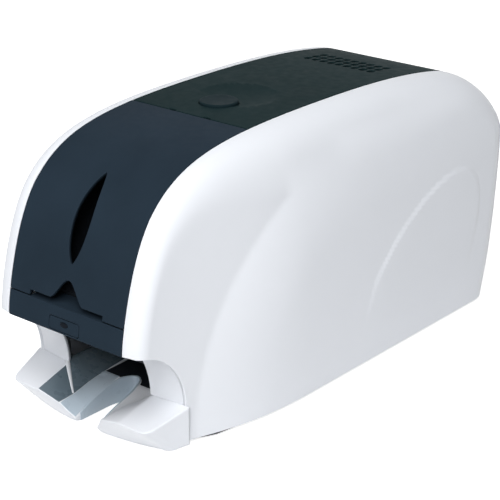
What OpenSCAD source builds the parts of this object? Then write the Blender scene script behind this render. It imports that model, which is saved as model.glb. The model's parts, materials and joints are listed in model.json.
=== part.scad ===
// Desktop card printer with a hinged lid, a hinged front cover, a card path and a ribbon cassette.
// Lengths are in millimetres. Every module is drawn with Y measured from the foremost point of the
// housing, X from its middle plane and Z from the table; centred() then moves the middle of the
// housing to the origin.

/* [Housing] */
// Width of the housing over both side covers
body_w = 182.5; // [179:0.5:185]
// Width of the dark strip that runs over the front, top and back
strip_w = 108; // [106:0.5:109]
// Wall thickness of the moulded covers
wall = 2.5; // [2.2:0.1:2.8]
// Gap between neighbouring covers that move apart
seam = 0.5; // [0.4:0.05:0.6]
// Width of the housing at its front edge
front_w = 139; // [137:1:142]
// Height of the soft step where each side cover swells
swell = 5; // [3:0.5:6]

/* [Lid and front cover] */
// Radius of the release button
release_r = 14; // [12:0.5:15]
// Travel of the release button
release_travel = 3; // [2:0.5:3]
// Height of the sight window
window_h = 54.7; // [50:0.1:58]
// Width of the sight window
window_w = 15.2; // [12:0.1:17]
// Width of the hand feed slot
slot_w = 68; // [60:1:72]

/* [Card path] */
// Width of a card
card_w = 54; // [53.9:0.1:54.1]
// Radius of the rubber rollers
roller_r = 8; // [7.5:0.1:8]
// Radius of the roller shafts
shaft_r = 3; // [2.5:0.1:3.2]
// Teeth on each roller gear
gear_teeth = 24; // [24]
// Gear module, the pitch diameter divided by the teeth
gear_module = 1.25; // [1.25]

/* [Hidden] */
$fn = 64;

// ---- outline of the dark strip in the side view, as [Y, Z] Bezier curves -------------------
body_l = 415;
top_z = 202.5;
panel_z = 77;
foot_h = 2;
strip_half = strip_w / 2;
cover_half = strip_half - 0.4;
outline = [
    [[0, panel_z], [0, 87], [10, 144], [32, 167.5]],
    [[32, 167.5], [59, 196], [96, top_z], [205, top_z]],
    [[205, top_z], [261, top_z], [307, 200.5], [349, 193.5]],
    [[349, 193.5], [393.4, 186.1], [body_l, 155], [body_l, 143]],
    [[body_l, 143], [body_l, 115], [411.5, 52], [400.1, 12]],
    [[400.1, 12], [398.4, 6], [395.5, 3], [390, 3]]
];
rear_end = len(outline);
// Where the covers meet along the outline: curve number plus the share of that curve
panel_top_u = 0.29;
lid_front_u = 1.71;
lid_rear_u = 3.3;

function bezier(c, t) =
    pow(1 - t, 3) * c[0] + 3 * pow(1 - t, 2) * t * c[1] + 3 * (1 - t) * t * t * c[2] + pow(t, 3) * c[3];
function bezier_slope(c, t) =
    3 * pow(1 - t, 2) * (c[1] - c[0]) + 6 * (1 - t) * t * (c[2] - c[1]) + 3 * t * t * (c[3] - c[2]);
function curve_of(u) = outline[min(floor(u), len(outline) - 1)];
function share_of(u) = u - min(floor(u), len(outline) - 1);
function on_outline(u) = bezier(curve_of(u), share_of(u));
function inward(u) =
    let (s = bezier_slope(curve_of(u), share_of(u))) [s[1], -s[0]] / norm(s);
// A point at depth d under the outline
function under(u, d) = on_outline(u) + d * inward(u);
// The two edges of the gap between covers that meet at u
function gap_share(u) = seam / 2 / norm(bezier_slope(curve_of(u), share_of(u)));
function before(u) = u - gap_share(u);
function after(u) = u + gap_share(u);

// ---- frame and joints ----------------------------------------------------------------------
plate_x = 47;
plate_t = 1.5;
lid_axis = [366, 177];
front_axis = [138, 193];
lid_pin_r = 2;
front_pin_r = 1.5;
running_gap = 0.05;
rod_r = 3;
rod_places = [[116, 30], [205, 40], [330, 40], [330, 150]];
screw_r = 2;
boss_places = [[90, 150], [300, 150], [345, 55], [110, 22]];

// ---- card path and gears -------------------------------------------------------------------
card_z = 96;
axis_z = card_z - roller_r;
gear_pitch = gear_module * gear_teeth;
pinion_teeth = gear_teeth / 2;
pickup_y = 68;
front_idler_y = pickup_y + gear_pitch;
feed_y = pickup_y + 2 * gear_pitch;
middle_idler_y = pickup_y + 3 * gear_pitch;
platen_y = pickup_y + 4 * gear_pitch;
rear_idler_y = pickup_y + 5 * gear_pitch;
transport_y = pickup_y + 6 * gear_pitch;
half_tooth = 180 / gear_teeth;
exit_angle = -7 * 360 / gear_teeth;
exit_pos = [front_idler_y, axis_z] + 0.75 * gear_pitch * [cos(exit_angle), sin(exit_angle)];
motor_pos = [middle_idler_y, axis_z - 0.75 * gear_pitch];
gear_x = plate_x + plate_t + 1;
gear_w = 6;
card_gap = 0.9;
cleaning_r = 7;
pinch_r = 6;
upper_shaft_r = 2.5;
cleaning_pos = [feed_y, card_z + card_gap + cleaning_r];
pinch_pos = [transport_y, card_z + card_gap + pinch_r];
chute_slope = 30;
exit_half = 40;
hopper_in = card_w / 2 + 0.5;
hopper_back = 112;

// ---- ribbon and print head -----------------------------------------------------------------
supply_pos = [226, 132];
takeup_pos = [150, 132];
spool_half = 28;
cassette_x = 31;
cassette_t = 2;

// ---- buttons -------------------------------------------------------------------------------
release_y = 159;
dish_y = 177;
dish_r = 31;
dish_depth = 1.5;
button_w = 28;
button_h = 9;
button_z = 83;

module centred() { translate([0, -body_l / 2, 0]) children(); }

// A side-view outline [Y, Z] extruded across X between x0 and x1
module across(x0, x1) {
    translate([x0, 0, 0]) rotate([90, 0, 90]) linear_extrude(x1 - x0) children();
}

module both_sides() {
    children();
    mirror([1, 0, 0]) children();
}

// A round bar along X, centred on the side-view place p
module bar(p, r, x0, x1) {
    translate([x0, p[0], p[1]]) rotate([0, 90, 0]) cylinder(r = r, h = x1 - x0);
}

// The skin under the outline between curve shares u0 and u1
module skin(u0, u1, steps, t = wall) {
    polygon(concat(
        [for (i = [0 : steps]) on_outline(u0 + (u1 - u0) * i / steps)],
        [for (i = [steps : -1 : 0]) under(u0 + (u1 - u0) * i / steps, t)]
    ));
}

module slot2d(l, w) {
    square([l - w, w], center = true);
    for (s = [-1, 1]) translate([s * (l - w) / 2, 0]) circle(d = w, $fn = 24);
}

module rounded2d(w, h, r) {
    square([w, h - 2 * r], center = true);
    square([w - 2 * r, h], center = true);
    for (x = [-1, 1], y = [-1, 1])
        translate([x * (w / 2 - r), y * (h / 2 - r)]) circle(r = r, $fn = 24);
}

// A flat shape in X and Z, extruded across the depth between y0 and y1
module along(y0, y1) {
    translate([0, y1, 0]) rotate([90, 0, 0]) linear_extrude(y1 - y0) children();
}

// ---- side covers ---------------------------------------------------------------------------
function smooth(t) = let (c = min(max(t, 0), 1)) c * c * (3 - 2 * c);
arch_y = 42.5;
arch_z = 30;
cover_bottom = 3;
shoulder_power = 2.23;
// The shoulder follows the outline up to the middle of the rounded rear corner
shoulder_end = 5.4;
outline_samples = [for (u = [0 : 0.02 : shoulder_end]) on_outline(u)];

function segment_gap(p, a, b) =
    let (d = b - a, t = min(max((p - a) * d / (d * d), 0), 1)) norm(p - a - t * d);
// Distance of a side-view point from the outline
function depth_at(p) =
    min([for (i = [1 : len(outline_samples) - 1])
        segment_gap(p, outline_samples[i - 1], outline_samples[i])]);
// Radius of the shoulder between the dark strip and the flank: small in front, largest on the top
function shoulder(p) = 11 + 33 * smooth((p[0] - 10) / 120) - 16 * smooth((p[0] - 260) / 110);
// The flank widens from the tray to the middle, with a soft step along an ellipse
function swoosh(p) = norm([max(235 - p[0], 0) / 180, (p[1] - 2) / 178]);
// 0 at the foot of the step and 1 at its top; the step is short at the tray and long at the lid
function step_at(p) = (1.03 - swoosh(p)) / (0.1 + 0.25 * smooth((p[0] - 120) / 110));
function flank(p) =
    front_w / 2 + (body_w / 2 - front_w / 2 - swell) * smooth((p[0] - 5) / 145)
    + swell * smooth(step_at(p));
function cover_x(p) =
    let (u = min(depth_at(p) / shoulder(p), 1))
    strip_half + (flank(p) - strip_half) * pow(1 - pow(1 - u, shoulder_power), 1 / shoulder_power);

function arch_at(z) = arch_y * sqrt(max(0, 1 - pow((z - arch_z) / (panel_z - arch_z), 2)));
// The edge of a side cover: along the strip, the bottom, and the arch round the exit bay
strip_edge = concat(
    [for (u = [0 : 0.1 : 1]) on_outline(u)],
    [for (u = [1.08 : 0.08 : 2]) on_outline(u)],
    [for (u = [2.125 : 0.125 : 3]) on_outline(u)],
    [for (u = [3.1 : 0.1 : 5]) on_outline(u)],
    [for (u = [5.25 : 0.25 : rear_end]) on_outline(u)]
);
bottom_y = [386, 380, 372, 362, 348, 330, 306, 275, 240, 200, 160, 128, 105, 90, 80, 72, 66, 60, 54, 49];
cover_edge = concat(
    strip_edge,
    [for (y = bottom_y) [y, cover_bottom]],
    [[arch_y + 2, cover_bottom], [arch_y + 1, 16]],
    [for (a = [0 : 10 : 70]) [arch_y * cos(a), arch_z + (panel_z - arch_z) * sin(a)]]
);
cover_middle = [222, 118];

function on_ray(edge, r) = cover_middle + r * (edge - cover_middle);
// Share of a ray at which the step has come down to level s, by halving
function ray_at(edge, s, a = 0, b = 1, n = 12) =
    let (m = (a + b) / 2)
    n == 0 ? m : step_at(on_ray(edge, m)) > s ? ray_at(edge, s, m, b, n - 1) : ray_at(edge, s, a, m, n - 1);
// Rings follow the soft step and crowd towards the shoulder
shoulder_steps = [for (a = [90, 77, 64, 52, 41, 31, 21, 12, 5, 0]) 1 - pow(cos(a), 2 / shoulder_power)];
step_levels = [0, 0.3, 0.5, 0.7, 1];
function shoulder_share(edge) =
    min(max((shoulder(edge) * 1.1 - depth_at(edge)) / norm(edge - cover_middle), 0.05), 0.6);
function outer_shares(edge) =
    let (start = 1 - shoulder_share(edge),
         inner = min(ray_at(edge, 1), start - 0.07),
         outer = min(max(ray_at(edge, 0), inner + 0.05), start - 0.015))
    concat([0, inner * 0.45, inner * 0.8], [for (t = step_levels) inner + (outer - inner) * t],
        [for (t = [0.33, 0.67]) outer + (start - outer) * t],
        [for (t = shoulder_steps) 1 - t * shoulder_share(edge)]);
function inner_shares(edge) =
    let (share = shoulder_share(edge)) [0, (1 - share) * 0.7, 1 - share, 1 - 0.4 * share, 1];
outer_count = 20;
inner_count = 5;

function outer_point(edge, r, on_strip) =
    let (p = on_ray(edge, r)) [r == 1 && on_strip ? strip_half : cover_x(p), p[0], p[1]];
// Inner skin: the outer one drawn in towards the middle and towards the strip
function inner_point(edge, r, on_strip) =
    let (p = on_ray(edge, r),
         q = p + r * wall * (cover_middle - p) / max(norm(p - cover_middle), 1),
         x = r == 1 && on_strip ? strip_half : cover_x(p) - wall)
    [max(x, strip_half), q[0], q[1]];

// Two triangles of the quad a, b, c, d
function quad(a, b, c, d) = [[a, b, c], [a, c, d]];
// Triangles of a fan and its rings, n points round, the first ring being one point
function ring_faces(n, rings) =
    let (at = function(r, i) r * n + (i % n))
    concat(
        [for (i = [0 : n - 1]) [at(0, 0), at(1, i), at(1, i + 1)]],
        [for (r = [1 : rings - 2], i = [0 : n - 1])
            each quad(at(r, i), at(r + 1, i), at(r + 1, i + 1), at(r, i + 1))]
    );

module side_cover() {
    n = len(cover_edge);
    k = len(strip_edge);
    outer_table = [for (i = [0 : n - 1], e = [cover_edge[i]])
        [for (r = outer_shares(e)) outer_point(e, r, i < k)]];
    inner_table = [for (i = [0 : n - 1], e = [cover_edge[i]])
        [for (r = inner_shares(e)) inner_point(e, r, i < k)]];
    outer = [for (r = [0 : outer_count - 1], i = [0 : n - 1]) outer_table[i][r]];
    inner = [for (r = [0 : inner_count - 1], i = [0 : n - 1]) inner_table[i][r]];
    base = len(outer);
    outer_rim = (outer_count - 1) * n;
    inner_rim = base + (inner_count - 1) * n;
    polyhedron(points = concat(outer, inner), convexity = 10, faces = concat(
        ring_faces(n, outer_count),
        [for (f = ring_faces(n, inner_count)) [base + f[0], base + f[2], base + f[1]]],
        [for (i = [0 : n - 1], j = [(i + 1) % n])
            each quad(outer_rim + i, inner_rim + i, inner_rim + j, outer_rim + j)]
    ));
}

module right_side_cover() { color([0.90, 0.91, 0.93]) centred() side_cover(); }
module left_side_cover() { color([0.90, 0.91, 0.93]) centred() mirror([1, 0, 0]) side_cover(); }

// ---- front cover and control panel ---------------------------------------------------------
front_sweep_r = norm(on_outline(before(lid_front_u)) - front_axis) - 0.03;
arm_x = 20;
arm_w = 6;
window_z = 152;
slot_top = 99.4;
notch_w = 34;
notch_h = 14.6;
flange_x = 50;
flange_t = 2;
flange_depth = 7;

module window2d() {
    a = window_h / 2;
    b = window_w / 2;
    r = (a * a + b * b) / (2 * b);
    intersection() {
        translate([r - b, 0]) circle(r = r, $fn = 128);
        translate([b - r, 0]) circle(r = r, $fn = 128);
    }
}

// Hand feed slot with the bell-shaped finger notch over it
module slot_and_notch2d() {
    translate([-slot_w / 2, panel_z + 10]) square([slot_w, slot_top - panel_z - 10]);
    polygon([for (x = [-notch_w / 2 : notch_w / 20 : notch_w / 2 + 0.01])
        [x, slot_top - 0.5 + (notch_h + 0.5) * pow(cos(x * 180 / notch_w), 2)]]);
}

// Gooseneck that carries the front cover round the front edge of the lid
module front_arm2d() {
    translate(front_axis) {
        circle(r = 4.5);
        translate([-3.5, -18]) square([7, 18]);
        translate([-25, -18]) square([28.5, 4]);
        translate([-25, -18]) square([6, 23]);
    }
}

module front_cover() {
    color([0.15, 0.18, 0.21]) centred() difference() {
        union() {
            difference() {
                union() {
                    across(-cover_half, cover_half) skin(after(panel_top_u), before(lid_front_u), 40);
                    both_sides() across(flange_x, flange_x + flange_t)
                        skin(after(panel_top_u), before(lid_front_u), 40, flange_depth);
                }
                bar(front_axis, front_sweep_r, -strip_half, strip_half);
                along(-5, 70) translate([0, window_z]) window2d();
                along(-5, 14) slot_and_notch2d();
            }
            both_sides() across(arm_x, arm_x + arm_w) front_arm2d();
        }
        bar(front_axis, front_pin_r + running_gap, -strip_half, strip_half);
    }
}

module front_cover_pin() {
    color("silver") centred() bar(front_axis, front_pin_r, -34, 34);
}

// Cross bar between the chassis plates, with the two ears that hold the front cover's pin
module hinge_bridge() {
    color([0.35, 0.37, 0.4]) centred() difference() {
        union() {
            across(-plate_x, plate_x) polygon([[146, 176], [154, 176], [154, 184], [146, 184]]);
            both_sides() across(28, 31)
                polygon([[146, 176], [154, 176], [154, 186], [143, 197], [133, 197], [133, 189],
                    [146, 180]]);
        }
        bar(front_axis, front_pin_r, -strip_half, strip_half);
    }
}

module panel_button2d(grow = 0) { translate([0, button_z]) rounded2d(button_w + grow, button_h + grow, 2); }

module control_panel() {
    color([0.15, 0.18, 0.21]) centred() {
        difference() {
            union() {
                across(-cover_half, cover_half) skin(0, before(panel_top_u), 10);
                across(-cover_half, cover_half) translate([1, panel_z]) square([49, wall]);
                across(-slot_w / 2 - 2, slot_w / 2 + 2) translate([3.5, 93]) square([17.5, 2]);
                across(-12, 12) translate([13, panel_z]) square([1.5, 18]);
            }
            along(-3, 5) panel_button2d(0.7);
            translate([-15.6, 3.8, panel_z + 1.15]) cube([31.2, 9.2, 11.5]);
        }
    }
}

module panel_button() {
    color([0.17, 0.20, 0.23]) centred() difference() {
        union() {
            intersection() {
                along(-1, 4.6) panel_button2d();
                across(-button_w, button_w) skin(0, panel_top_u, 10, 6);
            }
            translate([-button_w / 2 - 1, 4.3, button_z - button_h / 2])
                cube([button_w + 2, 1.2, button_h + 1]);
        }
        along(-1, 4.3) translate([0, button_z + 0.8]) slot2d(7.5, 4);
    }
}

module panel_light_lens() {
    color([0.05, 0.06, 0.07]) centred() intersection() {
        along(-1, 4.3) translate([0, button_z + 0.8]) slot2d(7.5, 4);
        across(-5, 5) skin(0, panel_top_u, 10, 6);
    }
}

module panel_button_spring() {
    color("silver") centred() along(5.5, 11.6) translate([0, button_z]) difference() {
        circle(r = 3);
        circle(r = 2.4);
    }
}

// ---- lid -----------------------------------------------------------------------------------
lid_sweep_r = norm(on_outline(after(lid_rear_u)) - lid_axis) - 0.03;
lid_ear_x = 36;
lid_ear_w = 5;
vent_l = 7.6;
vent_w = 3.4;
vent_columns = [-30 : 7.5 : 30];
vent_rows = [300, 310, 320];
stem_r = 3;
seat_z = 186;

module dish() {
    translate([0, dish_y, top_z]) rotate_extrude($fn = 96)
        polygon(concat([[0, 3], [0, -dish_depth]],
            [for (i = [1 : 8]) [dish_r * i / 8, -dish_depth * (1 - pow(i / 8, 2))]], [[dish_r, 3]]));
}

module vents() {
    for (x = vent_columns, y = vent_rows)
        translate([x, y, top_z - 12]) linear_extrude(20) rotate(90) slot2d(vent_l, vent_w);
}

module top_cover() {
    color([0.17, 0.20, 0.20]) centred() difference() {
        union() {
            across(-cover_half, cover_half) skin(after(lid_front_u), before(lid_rear_u), 48);
            both_sides() across(flange_x, flange_x + flange_t)
                skin(after(lid_front_u), before(lid_rear_u), 48, flange_depth);
            translate([0, dish_y, top_z - 5]) cylinder(r = dish_r + 2, h = 3.5);
            both_sides() across(lid_ear_x, lid_ear_x + lid_ear_w) {
                translate(lid_axis) circle(r = 5.5);
                polygon([[361, 179], [371, 179], [369, 186.3], [352, 190.8]]);
            }
            both_sides() across(19, 22) polygon([[152, seat_z], [166, seat_z], [166, 200], [152, 200]]);
            translate([-22, 152, seat_z]) cube([44, 14, 2.5]);
        }
        dish();
        vents();
        translate([0, release_y, seat_z + 5]) cylinder(r = release_r + 0.35, h = 30);
        translate([0, release_y, seat_z - 5]) cylinder(r = stem_r + running_gap, h = 30);
        bar(lid_axis, lid_pin_r + running_gap, -strip_half, strip_half);
        for (x = [-16, 16]) translate([x - 3, 125, 190]) cube([6, 5.5, 20]);
    }
}

module top_cover_pin() {
    color("silver") centred() bar(lid_axis, lid_pin_r, -plate_x - plate_t, plate_x + plate_t);
}

module release_button() {
    color([0.19, 0.22, 0.22]) centred() translate([0, release_y, 0]) {
        translate([0, 0, top_z - 3.6]) cylinder(r = release_r, h = 4.4);
        translate([0, 0, 181]) cylinder(r = stem_r, h = top_z - 3.6 - 181);
    }
}

module release_button_spring() {
    color("silver") centred() translate([0, release_y, seat_z + 2.5]) difference() {
        cylinder(r = stem_r + 2, h = top_z - 3.6 - seat_z - 2.5);
        translate([0, 0, -1]) cylinder(r = stem_r + 1.2, h = 40);
    }
}

module lid_catch() {
    color([0.35, 0.37, 0.4]) centred() difference() {
        union() {
            translate([-6, 154.6, 176]) cube([12, 9.4, seat_z - 0.4 - 176]);
            across(-6, 6) polygon([[154.6, 176], [160, 176], [154 + release_travel, 172], [154.6, 172]]);
        }
        translate([0, release_y, 181]) cylinder(r = stem_r, h = 10);
    }
}

// ---- back, base and exit bay ---------------------------------------------------------------
rocker_pos = [401.5, 45];
rocker_x = 36;
rocker_w = 13;
rocker_h = 19;
board_z = 12;
board_t = 1.6;
socket_z = board_z + board_t;
socket_y = 400.7;
socket_back_y = 384;
// Sockets as [x, width, height]
socket_list = [[-30, 12, 11], [-6, 16, 13.5], [20, 9, 11]];

module switch_frame2d(w = 17, h = 23) {
    translate([rocker_x, rocker_pos[1]]) square([w, h], center = true);
}

module rear_panel() {
    color([0.17, 0.20, 0.20]) centred() difference() {
        union() {
            across(-cover_half, cover_half) skin(after(lid_rear_u), rear_end, 36);
            both_sides() across(flange_x, flange_x + flange_t)
                skin(after(lid_rear_u), rear_end, 36, flange_depth);
            both_sides() across(plate_x - 3, plate_x) translate([362, 120]) square([51, 12]);
        }
        bar(lid_axis, lid_sweep_r, -strip_half, strip_half);
        for (s = socket_list)
            translate([s[0] - s[1] / 2 - 0.3, socket_back_y + 4, socket_z - 0.3])
                cube([s[1] + 0.6, 20, s[2] + 0.6]);
        along(384, 415) switch_frame2d(17.6, 23.6);
    }
}

pan_gap = 1.3;
function pan_half(y) = cover_x([y, cover_bottom]) - wall - pan_gap;
pan_y = [for (y = bottom_y) if (y < 381) y];

module base_pan() {
    color([0.2, 0.21, 0.22]) centred() translate([0, 0, foot_h]) difference() {
        linear_extrude(wall) polygon(concat(
            [for (y = pan_y) [-pan_half(y), y]],
            [for (i = [len(pan_y) - 1 : -1 : 0]) [pan_half(pan_y[i]), pan_y[i]]]
        ));
        translate([-44, 0, -1]) cube([88, 104, 5]);
    }
}

module rubber_feet() {
    color([0.1, 0.1, 0.1]) centred() both_sides() for (p = [[62, 75], [70, 364]])
        translate([p[0], p[1], 0]) cylinder(r = 8, h = foot_h);
}

module tray_ground2d() {
    polygon(concat([for (x = [-60 : 10 : 60]) [x, 17.5 + 9 * pow(x / 60, 2)]], [[72, 44.2], [-72, 44.2]]));
    for (x = [-62, 62]) translate([x, 35]) circle(r = 8);
}

module tray_rim2d() {
    polygon([[-61, 8], [61, 8], [66.2, 14], [73, 44.2], [-73, 44.2], [-66.2, 14]]);
    for (x = [-61.2, 61.2]) translate([x, 12.6]) circle(r = 4.6);
}

module tray_front() {
    intersection() {
        across(-76, 76) polygon([[44.1, 1], [41.8, 29.9], [8.6, 20.6], [20.2, 1]]);
        hull() {
            translate([0, 0, 0.9]) linear_extrude(0.1) tray_ground2d();
            translate([0, 0, 20.6]) linear_extrude(10) tray_rim2d();
        }
    }
}

// Pocket section at depth y: half-widths and heights of floor and rim
module pocket_section(y, floor_half, floor_z, rim_half, rim_z) {
    along(y, y + 0.1) polygon([
        [-floor_half, floor_z], [floor_half, floor_z], [rim_half, rim_z], [rim_half, 45],
        [-rim_half, 45], [-rim_half, rim_z]
    ]);
}

module output_tray() {
    color([0.90, 0.91, 0.93]) centred() difference() {
        union() {
            tray_front();
            across(-44, 44) polygon([[43.9, 1], [104, 1], [104, 27], [42.02, 27]]);
        }
        hull() {
            pocket_section(5, 17.6, 17.4, 39.2, 19.8);
            pocket_section(33.5, 29.5, 10.5, 40.2, 28);
        }
        hull() {
            pocket_section(33.5, 29.5, 10.5, 40.2, 28);
            pocket_section(99.9, 31, 22, 36, 32);
        }
        translate([0, 0, -1]) linear_extrude(40) {
            polygon([[-18.5, 0], [18.5, 0], [18.5, 19], [11, 28], [11, 60], [-11, 60], [-11, 28],
                [-18.5, 19]]);
            translate([0, 60]) circle(r = 11);
        }
    }
}

// Cheeks of the exit bay, a curved sheet between the arch and the card opening
cheek_rows = 10;
cheek_cols = 5;
cheek_t = 2.5;
cheek_gap = 0.6;
function cheek_z(i) = arch_z + 0.3 + (74.2 - arch_z - 0.3) * i / cheek_rows;
function cheek_front(z, s) =
    let (inner = 40.5 - 0.0085 * pow(z - arch_z, 2)) inner + (arch_at(z) - inner) * s;
function cheek_side(z, s) = exit_half + (cover_x([arch_at(z), z]) - wall - cheek_gap - exit_half) * s;
function cheek_point(i, j, t) =
    let (z = cheek_z(i), s = j / cheek_cols) [cheek_side(z, s), cheek_front(z, s) + t, z];

module exit_cheek() {
    n = (cheek_rows + 1) * (cheek_cols + 1);
    function at(i, j) = i * (cheek_cols + 1) + j;
    m = cheek_rows;
    k = cheek_cols;
    faces = concat(
        [for (i = [0 : m - 1], j = [0 : k - 1]) [at(i, j), at(i + 1, j), at(i + 1, j + 1)]],
        [for (i = [0 : m - 1], j = [0 : k - 1]) [at(i, j), at(i + 1, j + 1), at(i, j + 1)]],
        [for (i = [0 : m - 1], j = [0 : k - 1]) [n + at(i, j), n + at(i + 1, j + 1), n + at(i + 1, j)]],
        [for (i = [0 : m - 1], j = [0 : k - 1]) [n + at(i, j), n + at(i, j + 1), n + at(i + 1, j + 1)]],
        [for (j = [0 : k - 1]) [at(0, j), at(0, j + 1), n + at(0, j + 1), n + at(0, j)]],
        [for (j = [0 : k - 1]) [at(m, j), n + at(m, j), n + at(m, j + 1), at(m, j + 1)]],
        [for (i = [0 : m - 1]) [at(i, 0), n + at(i, 0), n + at(i + 1, 0), at(i + 1, 0)]],
        [for (i = [0 : m - 1]) [at(i, k), at(i + 1, k), n + at(i + 1, k), n + at(i, k)]]
    );
    polyhedron(points = concat(
        [for (i = [0 : m], j = [0 : k]) cheek_point(i, j, 0)],
        [for (i = [0 : m], j = [0 : k]) cheek_point(i, j, cheek_t)]
    ), faces = faces);
}

module exit_surround() {
    color([0.90, 0.91, 0.93]) centred() {
        both_sides() exit_cheek();
        translate([-exit_half - 1, 25.5, 71]) cube([2 * exit_half + 2, cheek_t, panel_z - 71]);
    }
}

// ---- chassis -------------------------------------------------------------------------------
module plate2d() {
    polygon(concat(
        [[50, foot_h + wall], [50, 150], [72, 178], [110, 184], [358, 184]],
        [for (a = [100 : -16 : -60]) lid_axis + 8 * [cos(a), sin(a)]],
        [[366, 150], [372, 145], [372, foot_h + wall]]
    ));
}

// Standoff that a side cover is screwed to
function standoff_end(p) = cover_x(p) - wall - 1.2;

module chassis_plate(x0) {
    color([0.72, 0.74, 0.76]) centred() difference() {
        union() {
            across(x0, x0 + plate_t) plate2d();
            for (p = boss_places)
                if (x0 > 0) bar(p, 3, x0 + 1, standoff_end(p));
                else bar(p, 3, -standoff_end(p), x0 + plate_t - 1);
        }
        for (y = [pickup_y, feed_y, platen_y, transport_y])
            bar([y, axis_z], shaft_r + running_gap, x0 - 1, x0 + 3);
        bar(exit_pos, shaft_r + running_gap, x0 - 1, x0 + 3);
        for (p = [cleaning_pos, pinch_pos]) bar(p, upper_shaft_r + running_gap, x0 - 1, x0 + 3);
        for (p = rod_places) bar(p, screw_r, x0 - 1, x0 + 3);
        bar(lid_axis, lid_pin_r, x0 - 1, x0 + 3);
        bar(flap_axis, flap_pin_r + running_gap, x0 - 1, x0 + 3);
        children();
    }
}

module right_chassis_plate() { chassis_plate(plate_x); }

module left_chassis_plate() {
    chassis_plate(-plate_x - plate_t) {
        for (y = [front_idler_y, middle_idler_y, rear_idler_y])
            bar([y, axis_z], idler_axle_r, -strip_half, -plate_x + 1);
        bar(motor_pos, motor_boss_r, -strip_half, -plate_x + 1);
    }
}

module tie_rods() {
    color("silver") centred() for (p = rod_places) difference() {
        bar(p, rod_r, -plate_x, plate_x);
        bar(p, screw_r, -plate_x - 1, -plate_x + 8);
        bar(p, screw_r, plate_x - 8, plate_x + 1);
    }
}

module chassis_screws() {
    color([0.3, 0.3, 0.32]) centred() both_sides() for (p = rod_places) difference() {
        union() {
            bar(p, screw_r, plate_x - 7.5, plate_x + plate_t + 1);
            bar(p, 3.5, plate_x + plate_t, plate_x + plate_t + 2);
        }
        translate([plate_x + plate_t + 0.8, p[0], p[1]]) rotate([0, 90, 0])
            cylinder(r = 1.4, h = 3, $fn = 6);
    }
}

// ---- card path -----------------------------------------------------------------------------
flap_axis = [115, 92];
flap_pin_r = 1.5;
floor_t = 1.5;
guide_w = 2.5;

module card_hopper() {
    color([0.28, 0.31, 0.34]) centred() difference() {
        union() {
            across(-hopper_in - guide_w, hopper_in + guide_w) {
                translate([24, 94.3]) square([89, floor_t]);
                translate([22, 92]) square([2, 5]);
                translate([hopper_back - 0.5, 94.3]) square([1.5, 75]);
            }
            both_sides() across(hopper_in, hopper_in + guide_w)
                polygon([[24, 94.3], [113, 94.3], [113, 170], [70, 182], [48, 172], [24, 145]]);
            across(-plate_x, plate_x) translate([52, 94.3]) square([58, floor_t]);
        }
        translate([-21, pickup_y - 7, 90]) cube([42, 14, 10]);
    }
}

module card_bed() {
    color([0.28, 0.31, 0.34]) centred() difference() {
        union() {
            across(-plate_x, plate_x) translate([135, 94]) square([157, floor_t]);
            both_sides() across(hopper_in, hopper_in + 2) translate([135, 94]) square([157, 3.7]);
        }
        for (y = [platen_y, transport_y]) translate([-27, y - 6.5, 90]) cube([54, 13, 6]);
    }
}

module exit_flap() {
    color([0.45, 0.47, 0.5]) centred() {
        bar(flap_axis, flap_pin_r, -plate_x - plate_t, plate_x + plate_t);
        across(-card_w / 2, card_w / 2) polygon([[114.2, 93.2], [121, 95.4], [121.6, 94.6], [115.8, 90.8]]);
    }
}

// Chute in its own frame: X runs up the slope from its front mouth, Y is the offset from the card
module on_chute() { translate([46, 48.8]) rotate(chute_slope) children(); }

module exit_chute() {
    color([0.28, 0.31, 0.34]) centred() difference() {
        union() {
            across(-29.5, 29.5) on_chute() {
                translate([0, -2.3]) square([81, 1.5]);
                translate([0, 2.2]) square([74, 1.5]);
            }
            both_sides() across(28, 29.5) on_chute() translate([0, -2.3]) square([74, 6]);
            both_sides() across(28, plate_x) on_chute() translate([60, -2.3]) square([10, 1.5]);
        }
        across(-21, 21) on_chute() translate([42.2, -5]) square([13, 5]);
    }
}

// Gear outline with involute flanks; phase turns the first tooth away from +Y
pressure_angle = 25;
backlash = 0.12;
function involute(r, base) = let (a = acos(min(1, base / r))) tan(a) * 180 / PI - a;
function tooth_half(teeth, r) =
    let (pitch = gear_module * teeth / 2, base = pitch * cos(pressure_angle))
    90 / teeth * (1 - backlash) + involute(pitch, base) - involute(max(r, base), base);

module gear2d(teeth, phase) {
    pitch = gear_module * teeth / 2;
    radii = [pitch - 1.45, pitch - 0.6, pitch, pitch + 0.6, pitch + 1.1];
    polygon([for (k = [0 : teeth - 1], s = [-1, 1], i = [0 : 4])
        let (r = radii[s < 0 ? i : 4 - i], a = phase + 360 * k / teeth + s * tooth_half(teeth, r))
        r * [cos(a), sin(a)]]);
}

module gear(p, teeth, phase, bore) {
    color([0.93, 0.93, 0.90]) centred() difference() {
        across(-gear_x - gear_w, -gear_x) translate(p) gear2d(teeth, phase);
        bar(p, bore, -gear_x - gear_w - 1, -gear_x + 1);
    }
}

module roller(p, half) {
    color([0.15, 0.15, 0.16]) centred() difference() {
        bar(p, roller_r, -half, half);
        bar(p, shaft_r, -half - 1, half + 1);
    }
}

module shaft(p) {
    color("silver") centred() bar(p, shaft_r, -gear_x - gear_w - 0.5, plate_x + plate_t + 1.5);
}

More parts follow.
